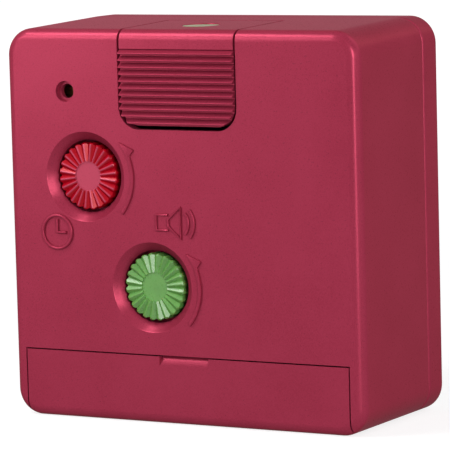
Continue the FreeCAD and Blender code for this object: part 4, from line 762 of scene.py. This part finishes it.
class CLOCK_OT_movement(bpy.types.Operator):
    """Everything inside: movement, wheel train, coil, board, buzzer, cell and springs"""
    bl_idname = "clock.movement"
    bl_label = "Finish the movement"

    def execute(self, context):
        # Black polystyrene from a spark-eroded mould: even, with a dry, fine-grained face.
        black = moulded_plastic(
            "moulded_black_polystyrene", linear("#1E1E21"), linear("#2A2A2E"), roughness=0.5,
            texture_mm=0.2, relief_um=12.0)
        paint_nodes(black, "movement_plate", "movement_case", "switch_carriage", "buzzer_ring")
        # Natural acetal: milky white, waxy and slightly see-through at the tooth tips.
        acetal = moulded_plastic(
            "moulded_acetal", linear("#DEDCD2"), linear("#EDEBE3"), roughness=0.35,
            texture_mm=0.3, relief_um=3.0, glow=0.2)
        paint_nodes(
            acetal, "coil_bobbin", "rotor_pinion", "intermediate_wheel", "second_wheel", "third_wheel",
            "centre_wheel", "cannon_pinion", "minute_wheel", "hour_wheel", "alarm_wheel", "time_set_pinion",
            "alarm_set_pinion")
        # Steel blanked from rolled strip: grey, with short straight lines.
        steel = worked_metal(
            "blanked_steel", linear("#8C8C90"), linear("#B4B4B8"), roughness=0.34, line_mm=0.15, along="X")
        paint_nodes(steel, "stator_plate", "coil_core", "key_spring", "movement_screws")
        # Sintered ferrite: dark grey, dull and grainy.
        ferrite = moulded_plastic(
            "sintered_ferrite", linear("#3A3A3D"), linear("#4B4B4F"), roughness=0.45,
            texture_mm=0.1, relief_um=8.0)
        paint_nodes(ferrite, "rotor_magnet")
        # Nickel plate over drawn steel: bright, a little warm, with upright drawing lines.
        nickel = worked_metal(
            "nickel_plated_steel", linear("#B9B4A8"), linear("#D2CEC4"), roughness=0.22,
            line_mm=0.2, along="Z")
        paint_nodes(nickel, "quartz_crystal", "battery_contact_plus", "battery_contact_minus")
        # Rolled brass: warm and bright, with the lines of the roll.
        brass = worked_metal(
            "rolled_brass", linear("#B08D48"), linear("#D0AE66"), roughness=0.28, line_mm=0.2, along="X")
        paint_nodes(brass, "buzzer_disc", "switch_wiper")
        copper = wound_wire("enamelled_copper_wire", linear("#8A4A24"), linear("#C98650"), pitch_mm=0.12)
        paint_nodes(copper, "coil_winding")
        board = solder_mask("lacquered_glass_epoxy", linear("#1D5A30"), linear("#2C7440"), weave_mm=0.5)
        paint_nodes(board, "circuit_board")
        # Epoxy cast over the chip: black, glossy and softly uneven.
        resin = moulded_plastic(
            "cast_epoxy_resin", linear("#0E0E10"), linear("#18181A"), roughness=0.2,
            texture_mm=1.2, relief_um=20.0)
        paint_nodes(resin, "chip_cover")
        # Printed film shrunk onto the cell: smooth and glossy blue, with slow waves.
        sleeve = moulded_plastic(
            "printed_cell_sleeve", linear("#22305E"), linear("#2B3B70"), roughness=0.25,
            texture_mm=2.0, relief_um=4.0)
        paint_nodes(sleeve, "battery_cell")
        return {"FINISHED"}


class CLOCK_OT_stage(bpy.types.Operator):
    """White floor and surroundings, soft lamps, and the camera"""
    bl_idname = "clock.stage"
    bl_label = "Set the stage"

    def execute(self, context):
        stage = context.scene.stage_set
        self.floor(stage)
        self.world()
        self.lamps()
        self.camera(stage)
        context.scene.view_settings.view_transform = "Standard"
        return {"FINISHED"}

    def seen_white(self, tree):
        """1 where the eye, a mirror or a clear sheet sees the surface, and 0 for the light that it gives."""
        rays = add(tree, "ShaderNodeLightPath").outputs
        seen = add(tree, "ShaderNodeMath", {
            0: rays["Is Camera Ray"], 1: rays["Is Glossy Ray"],
        }, operation="ADD")
        return add(tree, "ShaderNodeMath", {
            0: seen.outputs["Value"], 1: rays["Is Transmission Ray"],
        }, operation="ADD", use_clamp=True).outputs["Value"]

    def floor(self, stage):
        """Matt seamless paper: white to the eye, and it still takes the clock's soft shadow from the lamps.

        Near the clock the lamps light the paper, so it glows a little less there.
        """
        low, high = 0.79, 1.0
        near, far = 0.1, 0.6
        bpy.ops.object.select_all(action="DESELECT")
        bpy.ops.mesh.primitive_plane_add(size=stage.floor_reach * 2, location=(0, 0, cad_low.z - 0.02 * MM))
        floor = bpy.context.view_layer.objects.active
        floor.name = "floor"
        material, tree, place = new_material("white_seamless_paper")
        paper = add(tree, "ShaderNodeBsdfDiffuse", {"Color": rgba(linear("#949494"))})
        reach = add(tree, "ShaderNodeVectorMath", {0: place}, operation="LENGTH").outputs["Value"]
        white = add(tree, "ShaderNodeMapRange", {
            "Value": reach, "From Min": near, "From Max": far, "To Min": low, "To Max": high,
        }).outputs["Result"]
        strength = add(tree, "ShaderNodeMapRange", {
            "Value": self.seen_white(tree), "To Min": 0.1, "To Max": white,
        })
        glow = add(tree, "ShaderNodeEmission", {"Strength": strength.outputs["Result"]})
        both = add(tree, "ShaderNodeAddShader", {0: paper.outputs["BSDF"], 1: glow.outputs["Emission"]})
        add(tree, "ShaderNodeOutputMaterial", {"Surface": both.outputs["Shader"]})
        paint(floor, material)

    def world(self):
        """A white room to the eye and to mirrors, which gives only a dim, even light."""
        world = bpy.data.worlds.new("studio")
        bpy.context.scene.world = world
        world.use_nodes = True
        tree = world.node_tree
        tree.nodes.clear()
        strength = add(tree, "ShaderNodeMapRange", {
            "Value": self.seen_white(tree), "To Min": 0.18, "To Max": 1.0,
        })
        white = add(tree, "ShaderNodeBackground", {
            "Color": rgba(linear("#FFFFFF")), "Strength": strength.outputs["Result"],
        })
        add(tree, "ShaderNodeOutputWorld", {"Surface": white.outputs["Background"]})

    def lamps(self):
        """Soft boxes that face the middle of the clock.

        A row gives a lamp's name and direction, its distance, width and height in metres, and its watts.
        """
        middle = (cad_low + cad_high) / 2
        for name, towards, distance, width, height, power in (
            ("key_softbox", (0.58, 0.66, 0.48), 0.3, 0.15, 0.1, 0.36),
            ("near_softbox", (0.62, 0.78, 0.14), 0.18, 0.06, 0.05, 0.03),
            ("top_softbox", (0.46, 0.4, 0.8), 0.25, 0.08, 0.08, 0.3),
            ("edge_strip", (-0.76, 0.64, 0.12), 0.5, 0.045, 0.4, 2.2),
            ("side_softbox", (-1.0, 0.1, 0.2), 0.5, 0.3, 0.3, 0.3),
            ("front_fill", (-0.55, -0.65, 0.8), 0.9, 0.7, 0.7, 2.2),
        ):
            direction = Vector(towards).normalized()
            bpy.ops.object.light_add(type="AREA", location=middle + direction * distance)
            lamp = bpy.context.view_layer.objects.active
            lamp.name = name
            lamp.rotation_euler = direction.to_track_quat("Z", "Y").to_euler()
            lamp.data.shape = "RECTANGLE"
            lamp.data.size = width
            lamp.data.size_y = height
            lamp.data.energy = power

    def camera(self, stage):
        """A long lens, fitted to the outline, the wells and the seam that the photograph shows."""
        place = Vector((-235.0411, 417.711, 83.4161)) * MM
        back = Vector((
            math.sin(stage.azimuth) * math.cos(stage.elevation),
            -math.cos(stage.azimuth) * math.cos(stage.elevation),
            math.sin(stage.elevation),
        ))
        bpy.ops.object.camera_add(location=place)
        camera = bpy.context.view_layer.objects.active
        camera.rotation_mode = "QUATERNION"
        camera.rotation_quaternion = back.to_track_quat("Z", "Y") @ Quaternion((0, 0, 1), stage.roll)
        camera.data.sensor_width = 36
        camera.data.lens = stage.lens
        camera.data.clip_start = 0.01
        camera.data.clip_end = 20
        bpy.context.scene.camera = camera


class CLOCK_PT_panel(bpy.types.Panel):
    """Lists the steps in the order in which they are run"""
    bl_idname = "CLOCK_PT_panel"
    bl_label = "Travel alarm clock"
    bl_space_type = "VIEW_3D"
    bl_region_type = "UI"
    bl_category = "Clock"

    def draw(self, context):
        for operator in operators:
            self.layout.operator(operator.bl_idname)
        for group in ("case_finish", "sign_sizes", "dial_print", "stage_set"):
            settings = getattr(context.scene, group)
            for name in settings.bl_rna.properties.keys():
                if name not in ("rna_type", "name"):
                    self.layout.prop(settings, name)


groups = {"case_finish": CaseFinish, "sign_sizes": SignSizes, "dial_print": DialPrint, "stage_set": StageSet}
operators = (
    CLOCK_OT_case, CLOCK_OT_knobs, CLOCK_OT_signs, CLOCK_OT_dial, CLOCK_OT_hands, CLOCK_OT_movement,
    CLOCK_OT_stage,
)


def register():
    for kind in (*groups.values(), *operators, CLOCK_PT_panel):
        bpy.utils.register_class(kind)
    for name, kind in groups.items():
        setattr(bpy.types.Scene, name, bpy.props.PointerProperty(type=kind))


def unregister():
    for name in groups:
        delattr(bpy.types.Scene, name)
    for kind in (CLOCK_PT_panel, *reversed(operators), *reversed(list(groups.values()))):
        bpy.utils.unregister_class(kind)


def main():
    register()
    bpy.ops.clock.case()
    bpy.ops.clock.knobs()
    bpy.ops.clock.signs()
    bpy.ops.clock.dial()
    bpy.ops.clock.hands()
    bpy.ops.clock.movement()
    bpy.ops.clock.stage()


if __name__ == "__main__":
    main()
